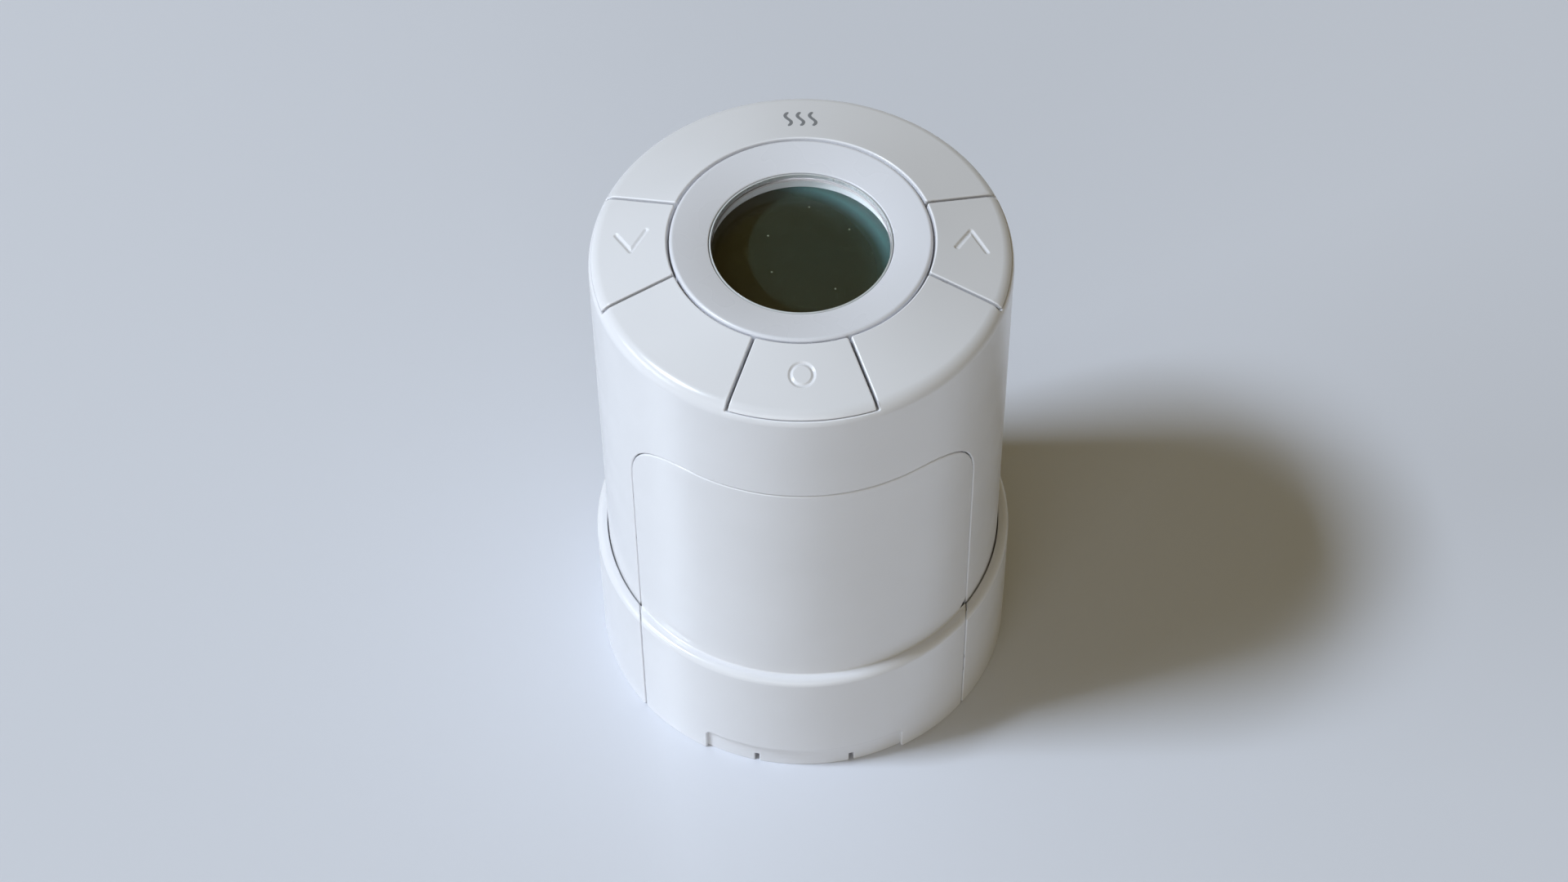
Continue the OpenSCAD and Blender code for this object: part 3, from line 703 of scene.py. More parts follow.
def shoulder(start_r):
    """From a radius on the collar's top, over its shoulder and down to the base."""
    shoulder_r, shoulder_z = COLLAR_R - SHOULDER, COLLAR_H - SHOULDER
    return (("line", (start_r, COLLAR_H), (shoulder_r, COLLAR_H)),
            ("arc", (shoulder_r, shoulder_z), SHOULDER, 90.0, 0.0),
            ("line", (COLLAR_R, shoulder_z), (COLLAR_R, 0.0)))


def cover_section():
    """Down the wall, out over the collar's shoulder and down to the base."""
    cove = 0.2
    return Section(("line", (BODY_R, COVER_TOP), (BODY_R, COLLAR_H + cove)),
                   ("arc", (BODY_R + cove, COLLAR_H + cove), cove, 180.0, 270.0),
                   *shoulder(BODY_R + cove))


def collar_section():
    return Section(*shoulder(BODY_R + 0.14))


BODY = body_section()
WALL_START = BODY.pieces[2][0]


def wall_s(z):
    """Arc length of the body's wall at a height."""
    return WALL_START + BODY.pieces[2][2][1][1] - z


def seam_s():
    """Arc length of the hinge seam in the rim."""
    centre = BODY.pieces[1][2][1]
    angle = math.degrees(math.asin((HINGE_Z - centre[1]) / RIM_R))
    return BODY.pieces[1][0] + RIM_R * math.radians(RIM_SWEEP - angle)


SEAM = seam_s()


def angle_for(x, r):
    return math.degrees(math.asin(x / r))


def cover_corner(grow, count=10):
    """The cover's top right corner as (angle, height) points, from its side to its top."""
    arc_half = BODY_R * math.asin(COVER_HALF / BODY_R)
    out = []
    for i in range(count + 1):
        a = math.pi / 2 * i / count
        across = arc_half - COVER_CORNER * (1 - math.cos(a)) + grow * math.cos(a)
        height = COVER_TOP - COVER_CORNER * (1 - math.sin(a)) + grow * math.sin(a)
        out.append((math.degrees(across / BODY_R), height))
    return out


def mirrored(points):
    return [(-t, *rest) for t, *rest in reversed(points)]


def body_inner(r, z, nr, nz):
    """The inside of the housing, a little thicker where it is upright."""
    return r - SHELL_T * nr - 0.15 * nr * nr, z - SHELL_T * nz


def cap_inner(r, z, nr, nz):
    """The inside of a button, cut back at the hinge seam so that it can tilt."""
    r_in, z_in = body_inner(r, z, nr, nz)
    return r_in, z_in + CAP_RELIEF * nr * nr


def build_housing():
    slot = BUTTON_HALF
    top = [(-180.0, 0.0, 0)]
    for centre in (-90.0, 0.0, 90.0):
        top += [(centre - slot, 0.0, 0.25), (centre - slot, SEAM, 0.15),
                (centre + slot, SEAM, 0.15), (centre + slot, 0.0, 0.25)]
    top.append((180.0, 0.0, 0))
    low_s = BODY.length
    side = [(angle_for(COVER_HALF + COVER_GAP, BODY_R), low_s, 0.4)]
    corner = [(t, wall_s(z), 0) for t, z in cover_corner(COVER_GAP)]
    right = [(180.0, low_s, 0)] + side + corner
    low = right + mirrored(right)
    chains = [rounded(top, BODY, False), rounded(low, BODY, False)]
    return skin_piece("housing_shell", BODY, chains, body_inner, edge=SHELL_EDGE)


def sector_corners(centre):
    """The outline of a button: its sides stay a constant gap from the slot's radial sides."""
    out = []
    for side in (-1, 1):
        line = []
        for s in np.linspace(0.0, SEAM - SEAM_GAP, 12):
            r = BODY.at(float(s))[0]
            line.append((centre + side * (BUTTON_HALF - math.degrees(math.asin(BUTTON_GAP / r))), float(s), 0))
        line[0], line[-1] = (*line[0][:2], 0.3), (*line[-1][:2], 0.2)
        out.append(line)
    return out[0] + out[1][::-1]


def groove(distance, half, depth):
    """A round-bottomed groove's depth at a distance from its centre line."""
    if distance >= half:
        return 0.0
    return depth * 0.5 * (1 + math.cos(math.pi * distance / half))


def segment_distance(p, a, b):
    ap, ab = np.subtract(p, a), np.subtract(b, a)
    t = max(0.0, min(1.0, float(ap @ ab) / float(ab @ ab)))
    return float(np.linalg.norm(ap - ab * t))


def chevron_sink(centre_xy, flip):
    arms = [(-1.8, 1.45), (0.0, -1.45), (1.8, 1.45)]
    arms = [(centre_xy[0] + flip * x, centre_xy[1] + flip * y) for x, y in arms]

    def depth(x, y):
        near = min(segment_distance((x, y), arms[0], arms[1]), segment_distance((x, y), arms[1], arms[2]))
        return groove(near, 0.4, 0.2)

    return depth


def ring_sink(centre_xy, radius):
    def depth(x, y):
        return groove(abs(math.hypot(x - centre_xy[0], y - centre_xy[1]) - radius), 0.34, 0.18)

    return depth


def build_button(name, centre, symbol_xy, depth_xy):
    """A push button, with its symbol sunk into the top face."""
    def xy(t, s):
        return around(t, BODY.at(s)[0])

    reach = 2.4

    def covers(t, s):
        x, y = xy(t, s)
        return abs(x - symbol_xy[0]) < reach and abs(y - symbol_xy[1]) < reach

    points = []
    count = int(2 * reach / 0.085)
    for i in range(count + 1):
        for j in range(count + 1):
            x = symbol_xy[0] - reach + 2 * reach * i / count
            y = symbol_xy[1] - reach + 2 * reach * j / count
            r = math.hypot(x, y)
            s = (r - GROOVE_R) / math.cos(SLOPE)
            t = math.degrees(math.atan2(x, -y))
            if 0.4 < s < BODY.pieces[0][1] - 0.2 and (
                    depth_xy(x, y) > 0 or (i % 4 == 0 and j % 4 == 0) or near_symbol(depth_xy, x, y)):
                points.append((t, s))

    def sink(t, s):
        return depth_xy(*xy(t, s))

    chain = rounded(sector_corners(centre), BODY)
    return skin_piece(name, BODY, [chain], cap_inner, edge=SHELL_EDGE, steps=(1.5, 1.2), sink=sink,
                      fine={"covers": covers, "points": points})


def near_symbol(depth_xy, x, y):
    d = 0.1
    return any(depth_xy(x + dx, y + dy) > 0 for dx in (-d, d) for dy in (-d, d))


def build_cover():
    section = cover_section()
    low_s = section.length
    side = []
    for s in section.marks(6.0)[::-1]:
        r, z, _, _ = section.at(s)
        if COVER_TOP - COVER_CORNER > z > 0.2:
            side.append((angle_for(COVER_HALF, r), s, 0))
    corner = [(t, COVER_TOP - z, 0) for t, z in cover_corner(0.0)]
    lip = low_s - NOTCH_H
    foot = [(NOTCH_HALF, lip, 0.8), (NOTCH_HALF, low_s, 0.4), (angle_for(COVER_HALF, COLLAR_R), low_s, 0.4)]
    right = foot + side + corner
    chain = rounded(right + mirrored(right), section)
    return skin_piece("battery_cover_shell", section, [chain], lambda r, z, nr, nz: (COVER_IN_R, z),
                      edge=0.2, steps=(1.5, 3.0))


def box_piece(name, low, high, edge=0.2):
    """A block between two corners in millimetres, with rounded edges."""
    bm = bmesh.new()
    bmesh.ops.create_cube(bm, size=1.0)
    for vert in bm.verts:
        vert.co = [(low[k] if vert.co[k] < 0 else high[k]) * MM for k in range(3)]
    bmesh.ops.bevel(bm, geom=bm.edges[:], offset=edge * MM, segments=3, profile=0.5, affect="EDGES")
    return finish_bmesh(name, bm)


def join(name, objects):
    """One object from several."""
    bm = bmesh.new()
    for obj in objects:
        bm.from_mesh(obj.data)
        bpy.data.objects.remove(obj)
    return object_from(name, bm)


def combine(name, base, added=(), cut=()):
    """A solid with others joined to it and others cut from it."""
    for tool in (*added, *cut):
        change = base.modifiers.new("change", "BOOLEAN")
        change.solver = "EXACT"
        change.operation = "UNION" if tool in added else "DIFFERENCE"
        change.object = tool
    bpy.context.view_layer.update()
    result = bpy.data.meshes.new_from_object(base.evaluated_get(bpy.context.evaluated_depsgraph_get()))
    for obj in (base, *added, *cut):
        bpy.data.objects.remove(obj)
    bm = bmesh.new()
    bm.from_mesh(result)
    bmesh.ops.remove_doubles(bm, verts=bm.verts, dist=1e-7)
    for edge in bm.edges:
        edge.smooth = True
    return finish_bmesh(name, bm)


def profile(name, corners, segments):
    """A turned piece from (radius, height, corner radius) points."""
    return lathe(name, fillet([c[:2] for c in corners], [c[2] for c in corners]), segments)


def rod(radius, z_low, z_high, at=(0.0, 0.0), edge=0.0, segments=48):
    """A round bar with rounded ends, standing at a point."""
    corners = [(0, z_low), (radius, z_low), (radius, z_high), (0, z_high)]
    return lathe("rod", fillet(corners, [0, edge, edge, 0]), segments, at)


def extruded(name, outer, holes, z_low, z_high, edge=0.15):
    """A flat piece from its outline and holes, with rounded edges top and bottom."""
    if signed_area(outer) < 0:
        outer = outer[::-1]
    loops = [outer] + [hole if signed_area(hole) < 0 else hole[::-1] for hole in holes]
    turns = [math.radians(a) for a in (0, 30, 60, 90)]
    levels = [(edge * (1 - math.sin(a)), z_low + edge * (1 - math.cos(a))) for a in turns]
    levels += [(inset, z_low + z_high - z) for inset, z in reversed(levels)]
    bm = bmesh.new()
    ends = ([], [])
    for loop in loops:
        count = len(loop)
        steps = []
        for i in range(count):
            a = np.subtract(loop[i], loop[i - 1])
            b = np.subtract(loop[(i + 1) % count], loop[i])
            a, b = a / np.linalg.norm(a), b / np.linalg.norm(b)
            mid = np.array([-(a + b)[1], (a + b)[0]])
            mid /= np.linalg.norm(mid)
            steps.append(mid / max(0.5, float(mid @ np.array([-a[1], a[0]]))))
        rings = [[bm.verts.new(((x + d[0] * inset) * MM, (y + d[1] * inset) * MM, z * MM))
                  for (x, y), d in zip(loop, steps)] for inset, z in levels]
        for low, high in zip(rings, rings[1:]):
            for i in range(count):
                j = (i + 1) % count
                bm.faces.new((low[i], low[j], high[j], high[i]))
        ends[0].append(rings[0])
        ends[1].append(rings[-1])
    for rings in ends:
        flat = [vert for ring in rings for vert in ring]
        for tri in tessellate_polygon([[Vector((v.co.x, v.co.y, 0)) for v in ring] for ring in rings]):
            bm.faces.new([flat[i] for i in tri])
    bmesh.ops.recalc_face_normals(bm, faces=bm.faces)
    return finish_bmesh(name, bm)


def circle(radius, at=(0.0, 0.0), count=48):
    angles = [2 * math.pi * i / count for i in range(count)]
    return [(at[0] + radius * math.cos(a), at[1] + radius * math.sin(a)) for a in angles]


def block_outline(low, high, radius=0.4):
    return fillet([low, (high[0], low[1]), high, (low[0], high[1])], [radius] * 4, 20)


def tube(name, path, radius, sides=16):
    """A round wire along a path of points in millimetres, with domed ends."""
    points = [np.array(p, float) for p in path]
    bm = bmesh.new()
    rings, across = [], None
    for i, point in enumerate(points):
        along = points[min(i + 1, len(points) - 1)] - points[max(i - 1, 0)]
        along /= np.linalg.norm(along)
        if across is None:
            across = np.cross(along, [0.0, 0.0, 1.0] if abs(along[2]) < 0.9 else [1.0, 0.0, 0.0])
        across = across - along * float(across @ along)
        across /= np.linalg.norm(across)
        up = np.cross(along, across)
        rings.append([bm.verts.new((point + radius * (across * math.cos(t) + up * math.sin(t))) * MM)
                      for t in (2 * math.pi * k / sides for k in range(sides))])
    for a, b in zip(rings, rings[1:]):
        bridge(bm, a, b)
    for ring, point, inner in ((rings[0], points[0], points[1]), (rings[-1], points[-1], points[-2])):
        out = (point - inner) / np.linalg.norm(point - inner)
        tip = bm.verts.new((point + out * radius * 0.5) * MM)
        for k in range(sides):
            bm.faces.new((ring[k], ring[(k + 1) % sides], tip))
    bmesh.ops.recalc_face_normals(bm, faces=bm.faces)
    return finish_bmesh(name, bm, 50)


def turned(name, rows, columns):
    """A closed surface from rows of functions of the angle that each give (radius, height)."""
    bm = bmesh.new()
    grid = []
    for i in range(columns):
        theta = 360.0 * i / columns
        out, _ = direction(theta)
        ring = [(r, z) for r, z in (row(theta) for row in rows)]
        grid.append([bm.verts.new((out[0] * r * MM, out[1] * r * MM, z * MM)) for r, z in ring])
    for i in range(columns):
        bridge(bm, grid[i], grid[(i + 1) % columns])
    bmesh.ops.recalc_face_normals(bm, faces=bm.faces)
    return finish_bmesh(name, bm, 35)


def thread_rows(z_from, z_to, pitch, r_at, depth, sign):
    """Rows along a thread. depth is its height, and sign is 1 for grooves that go outwards from r_at."""
    count = int(abs(z_to - z_from) / (pitch / 10))
    rows = []
    for k in range(count + 1):
        z = z_from + (z_to - z_from) * k / count
        fade = min(1.0, min(abs(z - z_from), abs(z - z_to)) / (0.6 * pitch))

        def row(theta, z=z, fade=fade):
            phase = ((z - pitch * theta / 360.0) / pitch) % 1.0
            cut = min(1.0, max(0.0, (1 - abs(2 * phase - 1) - 0.125) / 0.75))
            return r_at + sign * depth * cut * fade, z

        rows.append(row)
    return rows


def fixed(r, z):
    return lambda theta: (r, z)


def build_nut():
    """The union nut: grip ribs outside, an inner flange, and an M30 x 1.5 thread."""
    low, top, flange, thread_top = 0.4, 10.4, 9.0, 7.4

    def rib(inset, z):
        def row(theta):
            off = abs((theta + 7.5) % 15.0 - 7.5)
            t = min(1.0, max(0.0, (3.4 - off) / 1.3))
            return 16.5 - inset + 0.5 * t * t * (3 - 2 * t) * (0.3 if inset else 1.0), z
        return row

    rows = [rib(0.5, low), rib(0.25, low + 0.08), rib(0.08, low + 0.25), rib(0, low + 0.5), rib(0, 5.4),
            rib(0, top - 0.5), rib(0.08, top - 0.25), rib(0.25, top - 0.08), rib(0.5, top)]
    rows += [fixed(11.4, top), fixed(11.2, top - 0.08), fixed(11.1, top - 0.3),
             fixed(11.1, flange + 0.2), fixed(11.3, flange), fixed(14.4, flange),
             fixed(14.6, flange - 0.2), fixed(14.6, thread_top + 0.15)]
    rows += thread_rows(thread_top, low + 0.6, 1.5, 14.19, 0.8, 1)
    rows += [fixed(14.9, low)]
    return turned("union_nut", rows, 288)


def build_spindle():
    low, high = 9.9, 31.9
    rows = [fixed(0.02, low), fixed(2.8, low), fixed(3.0, low + 0.2), fixed(3.0, low + 4)]
    rows += thread_rows(low + 4.3, high - 0.6, 1.0, 3.0, 0.35, -1)
    rows += [fixed(2.5, high), fixed(0.02, high)]
    return turned("spindle_screw", rows, 64)


def build_base_cover():
    corners = [(18, 1.2, 0.25), (23.2, 1.2, 0.3), (23.2, 2.6, 0.15),
               (19.2, 2.6, 0.4), (19.2, 10.6, 0.15), (18, 10.6, 0.15)]
    base = profile("base", corners, 192)
    angles = (-120, 120, 180)
    spots = [around(a, SCREW_AT) for a in angles]
    ribs = []
    for k in range(12):
        angle = 15 + 30 * k
        if min(abs((angle - a + 180) % 360 - 180) for a in angles) > 8:
            rib = box_piece("rib", (18.9, -0.5, 2.3), (22.6, 0.5, 4.2), 0.12)
            rib.data.transform(Matrix.Rotation(math.radians(angle - 90), 4, "Z"))
            ribs.append(rib)
    return combine("base_plate", base, [rod(2.2, 1.25, 10.8, p, 0.15) for p in spots] + ribs,
                   [rod(1.1, -1, 12, p) for p in spots] + [rod(2.05, -1, 2.5, p) for p in spots])


def build_cell(x, up):
    length, r = CELL_HIGH - CELL_LOW, 7.25
    outline = fillet([(0, 0), (6.3, 0), (6.35, 0.2), (6.9, 0.2), (r, 0.6), (r, length - 2),
                      (6.85, length - 1.6), (2.75, length - 1.5), (2.75, length - 0.2),
                      (2.55, length), (0, length)],
                     [0, 0.1, 0.05, 0.2, 0.3, 0.3, 0.2, 0.3, 0.1, 0.08, 0])
    if not up:
        outline = [(rr, length - z) for rr, z in reversed(outline)]
    return lathe("cell", [(rr, z + CELL_LOW) for rr, z in outline], 128, (x, CELL_Y))


def bare_ends(obj, x, mat):
    """Gives the metal ends of a cell their own material: what stands inside the wrap's turned-in edge."""
    obj.data.materials.append(mat)
    for face in obj.data.polygons:
        reach = math.hypot(face.center.x / MM - x, face.center.y / MM - CELL_Y)
        if reach < 6.25:
            face.material_index = 1


def build_spring():
    x, y, z = -CELL_X, CELL_Y, 12.0
    path = []
    for k in range(133):
        turn = k / 44.0
        r = 3.9 - 0.37 * turn
        angle = 2 * math.pi * turn
        path.append((x + r * math.cos(angle), y + r * math.sin(angle), z + 0.5 + 0.155 * turn))
    plate = extruded("plate", block_outline((x - 5.5, y - 4.5), (x + 5.5, y + 4.5)), [], z, z + 0.3, 0.06)
    return join("cell_spring", [plate, tube("coil", path, 0.19)])


def build_antenna():
    r, start, sweep, steps = 21.6, 90 + 102.5, 55, 40
    path = [around(start, r) + (PCB_TOP + 0.2 * k,) for k in range(8)]
    path += [around(start + sweep * k / steps, r) + (69.05 + 0.05 * math.sin(math.pi * min(1, k / 2)),)
             for k in range(1, steps)]
    path += [around(start + sweep, r) + (68.9 - 0.2 * k,) for k in range(8)]
    return tube("antenna_wire", path, 0.34)


def build_board():
    holes = [circle(1.15, around(a, SCREW_AT), 32) for a in (-62, 62, 180)]
    spots = ((-12, 1.5), (-12, 4.0), (-12, 11), (12.6, 12.8), (12.6, 0.2), (1.6, -1.6))
    vias = [circle(0.3, at, 10) for at in spots]
    return extruded("circuit_board", circle(22.6, count=192), holes + vias, PCB_LOW, PCB_TOP, 0.08)


def chips():
    """Small resistors and capacitors under the board, as bodies and as soldered ends."""
    spots = [(x, -1.2, 0) for x in np.arange(-11, 11.5, 2.4)]
    spots += [(x, 15.6, 0) for x in (-11, -8.8, 8.8, 11)] + [(0, y, 90) for y in (1.6, 4.0, 6.4, 8.8, 11.2)]
    bodies, ends = [], []
    for x, y, turn in spots:
        spin = Matrix.Translation((x * MM, y * MM, 0)) @ Matrix.Rotation(math.radians(turn), 4, "Z")
        for group, low, high in ((bodies, (-0.55, -0.4, 65.87), (0.55, 0.4, 66.28)),
                                 (ends, (-0.82, -0.42, 65.85), (-0.5, 0.42, 66.3)),
                                 (ends, (0.5, -0.42, 65.85), (0.82, 0.42, 66.3))):
            part = box_piece("chip", low, high, 0.05)
            part.data.transform(spin)
            group.append(part)
    return join("chip_bodies", bodies), join("chip_ends", ends)


def build_motor():
    x, y = MOTOR_AT
    half = math.degrees(math.asin(5 / 6))
    outline = []
    for start in (-half, 180 - half):
        outline += [(x + 6 * math.cos(math.radians(start + 2 * half * k / 24)),
                     y + 6 * math.sin(math.radians(start + 2 * half * k / 24))) for k in range(25)]
    can = extruded("can", outline, [], 39.5, 56.5, 0.5)
    boss = rod(2.5, 56.3, 57.7, MOTOR_AT, 0.3)
    tabs = [box_piece("tab", (x + side * 4 - 0.25, y - 0.8, 56.4), (x + side * 4 + 0.25, y + 0.8, 59.1), 0.08)
            for side in (-1, 1)]
    return join("motor_can", [can, boss] + tabs)


def build_bush():
    corners = [(5.4, 7.7, 0.2), (13.6, 7.7, 0.25), (13.6, 8.7, 0.15), (11, 8.7, 0.2),
               (11, 10.8, 0), (7.4, 10.8, 0.1), (7.4, 14, 0.2), (5.4, 14, 0.2)]
    return profile("valve_bush", corners, 128)


def build_tip():
    return lathe("spindle_foot", fillet([(0, 9.2), (4.6, 9.2), (4.6, 9.9), (0, 9.9)], [0, 0.35, 0.12, 0]), 96)


def build_cover_inside():
    """The cover's foot, set back by a small step and split by two slots, and the rails inside the cover."""
    top, reach = NOTCH_H + 0.6, NOTCH_HALF + 0.9
    section = Section(("line", (FOOT_R, top), (FOOT_R, 0.0)))
    slot = [(SLOT_AT - SLOT_HALF, top, 0.15), (SLOT_AT - SLOT_HALF, top - SLOT_H, 0.1),
            (SLOT_AT + SLOT_HALF, top - SLOT_H, 0.1), (SLOT_AT + SLOT_HALF, top, 0.15)]
    right = slot + [(reach, top, 0.2), (reach, 0.0, 0)]
    foot = skin_piece("foot", section, [rounded(right + mirrored(right), section)],
                      lambda r, z, nr, nz: (COVER_IN_R + 0.02, z), edge=0.15, steps=(1.5, 1.5))
    rails = []
    for side in (-1, 1):
        x = sorted((side * 18.4, side * 19.4))
        rails.append(box_piece("rail", (x[0], -14.95, 22), (x[1], -9, 52)))
    return join("battery_cover_fittings", [foot] + rails)


def build_collar():
    section = collar_section()
    start, end = [], []
    for s in section.marks(4.0):
        edge_angle = angle_for(COVER_HALF + COVER_GAP, section.at(s)[0])
        start.append((edge_angle, s, 0))
        end.append((360.0 - edge_angle, s, 0))
    start[0], start[-1] = (*start[0][:2], 0.25), (*start[-1][:2], 0.4)
    end[0], end[-1] = (*end[0][:2], 0.25), (*end[-1][:2], 0.4)
    chain = rounded(start + end[::-1], section)
    return skin_piece("base_collar_shell", section, [chain], lambda r, z, nr, nz: (BODY_R + 0.12, z),
                      edge=0.16, steps=(1.5, 3.0))


# ---------------------------------------------------------------- the display and bezel
def build_bezel():
    corners = [(WINDOW_R, CREST_Z - 0.83, 0.16), (15.72, CREST_Z + 0.005, 0.42), (15.75, FLANGE_TOP, 0),
               (FLANGE_R, FLANGE_TOP, 0.1), (FLANGE_R, FLANGE_LOW, 0.1), (14.0, FLANGE_LOW, 0),
               (14.0, LENS_LOW, 0), (WINDOW_R, LENS_LOW, 0)]
    return profile("bezel_trim", corners, 256)


def build_lens():
    z0, z1, r = LENS_LOW, CREST_Z - 0.95, WINDOW_R - LENS_GAP - LENS_EDGE
    outline = fillet([(0, z0), (r, z0), (r, z1), (0, z1)], [0, 0.06, 0.06, 0])
    return lathe("lens_disc", outline, 256)


def build_lens_edge():
    """The ground edge round the lens, which looks pale."""
    z0, z1, r = LENS_LOW, CREST_Z - 0.9, WINDOW_R - LENS_GAP
    corners = [(r - LENS_EDGE, z0, 0), (r, z0, 0.05), (r, z1 - 0.05, 0.08), (r - LENS_EDGE, z1, 0.03)]
    return profile("lens_ground_edge", corners, 256)


def build_lcd():
    layers = []
    for name, x, y, low, high, edge in (("plate", 12.5, 12.5, 1.6, 0.82, 0.08),
                                        ("plate", 12.5, 11.3, 0.8, 0.16, 0.08),
                                        ("film", 12.1, 10.9, 0.18, 0.0, 0.03)):
        layers.append(box_piece(name, (-x, -y, LCD_TOP - low), (x, y, LCD_TOP - high), edge))
    return join("lcd_glass", layers)


RIBBON_SECTION = ((-0.5, -0.05), (-0.5, 0.6), (-0.38, 1.0), (0.38, 1.0), (0.5, 0.6), (0.5, -0.05))


def ribbon(name, path, width, height, base):
    """A raised printed line along a path of (x, y), standing on the surface that base gives."""
    bm = bmesh.new()
    rows = []
    for i, (x, y) in enumerate(path):
        before, after = path[max(0, i - 1)], path[min(len(path) - 1, i + 1)]
        along = np.array([after[0] - before[0], after[1] - before[1]])
        along /= np.linalg.norm(along)
        taper = math.sqrt(max(0.0, 1 - max(0.0, 1 - min(i, len(path) - 1 - i) / 2.0) ** 2)) or 0.25
        row = []
        for offset, lift in RIBBON_SECTION:
            px = x - along[1] * width * offset * taper
            py = y + along[0] * width * offset * taper
            row.append(bm.verts.new((px * MM, py * MM, (base(px, py) + height * lift) * MM)))
        rows.append(row)
    for a, b in zip(rows, rows[1:]):
        bridge(bm, a, b)
    bm.faces.new(rows[0])
    bm.faces.new(rows[-1][::-1])
    bmesh.ops.recalc_face_normals(bm, faces=bm.faces)
    return finish_bmesh(name, bm)


def build_heat_mark():
    """A generic warmth sign printed on the back of the top face: three wavy lines."""
    def base(x, y):
        return top_z(math.hypot(x, y))

    marks = []
    for x0 in (-1.5, 0.0, 1.5):
        path = [(x0 + 0.38 * math.sin(2 * math.pi * t), 18.6 + 3.0 * t) for t in np.linspace(0, 1, 25)]
        marks.append(ribbon("wave", path, 0.42, 0.02, base))
    return join("heat_mark", marks)


# ---------------------------------------------------------------- materials
CELL_COLOURS = ((0.02, 0.05, 0.10), (0.08, 0.26, 0.36), (0.6, 0.62, 0.6))
PLASTICS = {
    "white_shell": ("white_abs", (0.81, 0.81, 0.84), (0.17, 0.24), 5.0, 0.002),
    "bezel_plastic": ("bezel_abs", (0.785, 0.79, 0.84), (0.26, 0.29), 5.0, 0.002),
    "inner_plastic": ("inner_abs", (0.66, 0.67, 0.67), (0.4, 0.55), 4.0, 0.01),
    "frosted": ("frosted", (0.62, 0.64, 0.64), (0.3, 0.4), 5.0, 0.004),
    "seal_foam": ("seal_foam", (0.55, 0.51, 0.50), (0.7, 0.85), 6.0, 0.03),
    "elastomer": ("elastomer", (0.6, 0.24, 0.25), (0.5, 0.6), 3.0, 0.02),
    "dark_plastic": ("dark_plastic", (0.025, 0.026, 0.028), (0.45, 0.55), 6.0, 0.02, 0.15, 1.8),
    "gear_plastic": ("acetal", (0.80, 0.77, 0.66), (0.35, 0.45), 4.0, 0.006),
    "wire": ("wire", (0.35, 0.03, 0.02), (0.45, 0.55), 5.0, 0.01),
    "print_grey": ("print_grey", (0.25, 0.26, 0.28), (0.4, 0.5), 8.0, 0.004),
}
METALS = {
    "steel": ("steel", (0.62, 0.63, 0.64)),
    "nickel": ("nickel", (0.68, 0.66, 0.62), (0.18, 0.3), (6, 1, 1)),
    "copper": ("copper", (0.72, 0.34, 0.2)),
    "brass": ("brass", (0.72, 0.53, 0.24), (0.2, 0.34), (1, 1, 8)),
    "nut_metal": ("nut_metal", (0.60, 0.60, 0.59), (0.28, 0.42), (2, 2, 2), 0.006),
}
OTHERS = {
    "lens": (clear, (1.0, 1.0, 1.0), 0.0, 1.49),
    "light_guide": (clear, (0.95, 0.97, 0.93), 0.08, 1.49),
    "lcd": (liquid_crystal,),
    "pcb": (board,),
    "cell_wrap": (wrapped, CELL_LOW, CELL_HIGH, CELL_COLOURS),
    "cell_wrap_down": (wrapped, CELL_HIGH, CELL_LOW, CELL_COLOURS),
}
MADE = {}


def finish_for(slot, from_mesh):
    """The material of a slot, made once for CAD nodes and once for the script's own meshes."""
    key = (slot, from_mesh)
    if key not in MADE:
        if slot in PLASTICS:
            MADE[key] = moulded(*PLASTICS[slot], from_mesh=from_mesh)
        elif slot in METALS:
            MADE[key] = metal(*METALS[slot], from_mesh=from_mesh)
        else:
            maker, *values = OTHERS[slot]
            MADE[key] = maker(slot, *values)
    return MADE[key]


def place(obj, slot, body, *replaced, look=None):
    return piece(obj, finish_for(look or slot, True), body, slot, *replaced)


for part in frame["record"]["subparts"]:
    mesh = frame["nodes"][part["node"]].data
    mesh.materials.clear()
    mesh.materials.append(finish_for(part["material_slot"], False))

place(build_housing(), "white_shell", "body", "housing")
place(build_collar(), "white_shell", "body", "base_collar")
place(build_cover(), "white_shell", "battery_cover", "battery_cover")
place(build_cover_inside(), "white_shell", "battery_cover", "battery_cover")
place(build_button("button_down_cap", -90.0, (-20.3, 0.5), chevron_sink((-20.3, 0.5), 1)),
      "white_shell", "button_down", "button_down")
place(build_button("button_up_cap", 90.0, (20.3, 0.45), chevron_sink((20.3, 0.45), -1)),
      "white_shell", "button_up", "button_up")
place(build_button("button_select_cap", 0.0, (0.0, -19.9), ring_sink((0.0, -19.9), 1.35)),
      "white_shell", "button_select", "button_select")
place(build_bezel(), "bezel_plastic", "body", "bezel_ring")
lens = place(build_lens(), "lens", "body", "display_lens")
place(build_lens_edge(), "bezel_plastic", "body", look="frosted")
lens.visible_shadow = False
place(build_lcd(), "lcd", "body", "lcd_cell")
place(build_heat_mark(), "white_shell", "body", look="print_grey")
for name, angle in (("down", -90), ("up", 90), ("select", 0)):
    boss = rod(0.8, *BOSS_Z, around(angle, SWITCH_AT), 0.15)
    boss.name = "button_" + name + "_boss"
    place(boss, "white_shell", "button_" + name, "button_" + name)

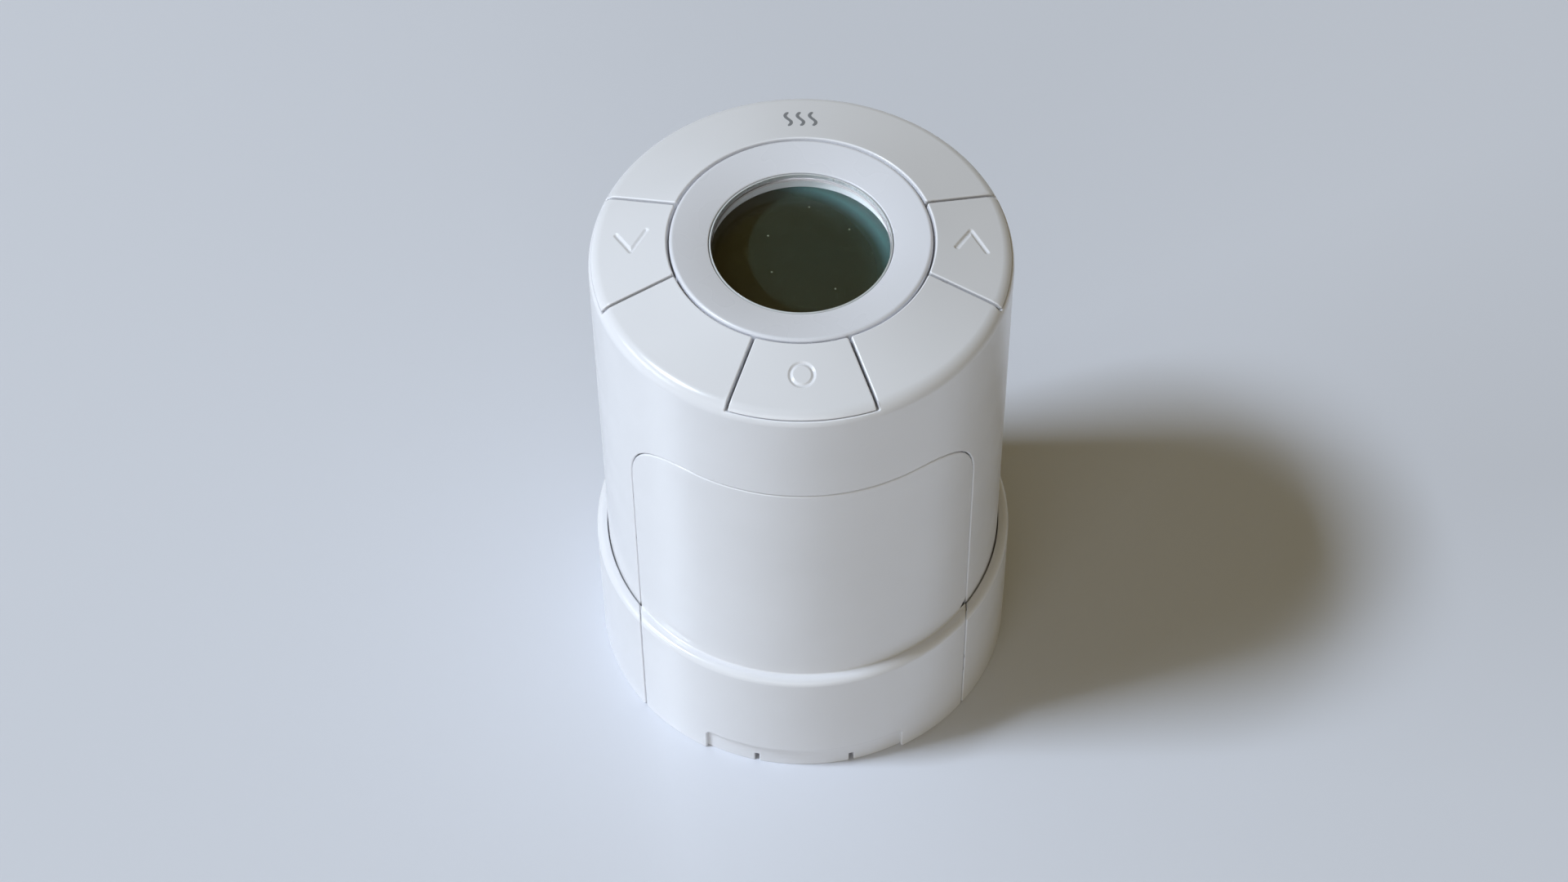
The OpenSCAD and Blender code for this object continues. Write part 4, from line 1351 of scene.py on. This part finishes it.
place(build_nut(), "nut_metal", "coupling_nut", "coupling_nut")
place(build_bush(), "nut_metal", "body", "coupling_bush")
place(build_spindle(), "steel", "spindle", "spindle")
place(build_tip(), "brass", "spindle", "spindle_tip")
place(build_base_cover(), "inner_plastic", "body", "base_cover")
for name, x, up in (("left", -CELL_X, True), ("right", CELL_X, False)):
    cell = build_cell(x, up)
    cell.name = "cell_" + name
    place(cell, "cell_wrap", "body", "battery_" + name, look=None if up else "cell_wrap_down")
    bare_ends(cell, x, finish_for("nickel", True))
place(build_spring(), "nickel", "body", "contact_spring")
place(build_antenna(), "copper", "body", "antenna")
place(build_board(), "pcb", "body", "main_pcb")
bodies, ends = chips()
place(bodies, "dark_plastic", "body")
place(ends, "nickel", "body")
place(build_motor(), "steel", "body", "motor")


# ---------------------------------------------------------------- floor, light and camera
WALLS = (0.28, 0.237, 0.145)
CEILING = (0.10, 0.075, 0.02)
TARGET = (0.0, 0.0, 0.03)


def stage():
    bm = bmesh.new()
    bmesh.ops.create_grid(bm, x_segments=1, y_segments=1, size=3.0)
    floor = object_from("floor", bm)
    mat, tree, shader = material("floor")
    colour = ramp(tree, noise(tree, 0.004, 1.0), [(0.1, (0.725, 0.74, 0.80)), (0.9, (0.75, 0.765, 0.825))])
    tree.links.new(colour, shader.inputs["Base Color"])
    set_gloss(tree, shader, noise(tree, 0.01, 1.0), (0.27, 0.29), 0.1, 0.9)
    floor.data.materials.append(mat)


def area_light(name, place, target, size, energy, colour):
    light = bpy.data.lights.new(name, "AREA")
    light.shape = "RECTANGLE"
    light.size, light.size_y = size
    light.energy = energy
    light.color = colour
    obj = new_object(name, light)
    obj.location = place
    obj.rotation_euler = (Vector(target) - Vector(place)).to_track_quat("-Z", "Y").to_euler()
    return obj


def camera():
    """The photograph's view: 49.4 degrees above the horizon, from the front, 416 mm from the crest."""
    elevation, distance = math.radians(49.36), 0.4162
    yaw, pitch, roll = (math.radians(a) for a in (0.30, -3.33, -0.36))
    c, s = math.cos(elevation), math.sin(elevation)
    look = Matrix(((1, 0, 0), (0, s, -c), (0, c, s)))
    turn = Matrix.Rotation(yaw, 3, "Y") @ Matrix.Rotation(pitch, 3, "X") @ Matrix.Rotation(roll, 3, "Z")
    data = bpy.data.cameras.new("camera")
    data.sensor_width = 36.0
    data.lens = 80.32
    data.clip_start = 0.01
    obj = new_object("camera", data)
    eye = Matrix.Translation((0, -distance * c, CREST_Z * MM + distance * s))
    obj.matrix_world = eye @ (look @ turn).to_4x4()
    bpy.context.scene.camera = obj


def room():
    """A pale room: the walls near the horizon are brighter than the ceiling."""
    world = bpy.data.worlds.new("room")
    world.use_nodes = True
    tree = world.node_tree
    coords = tree.nodes.new("ShaderNodeTexCoord")
    parts = tree.nodes.new("ShaderNodeSeparateXYZ")
    tree.links.new(coords.outputs["Generated"], parts.inputs["Vector"])
    sky = ramp(tree, parts.outputs["Z"], [(0.0, WALLS), (0.25, WALLS), (0.75, CEILING), (1.0, CEILING)])
    tree.links.new(sky, tree.nodes["Background"].inputs["Color"])
    bpy.context.scene.world = world


stage()
room()
area_light("window", (-2.78, -0.44, 3.80), TARGET, (0.88, 0.78), 164.0, (0.755, 0.86, 1.0))
area_light("low_window", (-1.7, -0.35, 0.75), TARGET, (0.9, 0.5), 8.5, (0.80, 0.90, 1.0))
area_light("front_room", (-0.3, -1.5, 0.75), TARGET, (1.4, 0.7), 5.0, (0.88, 0.94, 1.0))
bpy.context.scene.view_settings.view_transform = "Standard"
camera()
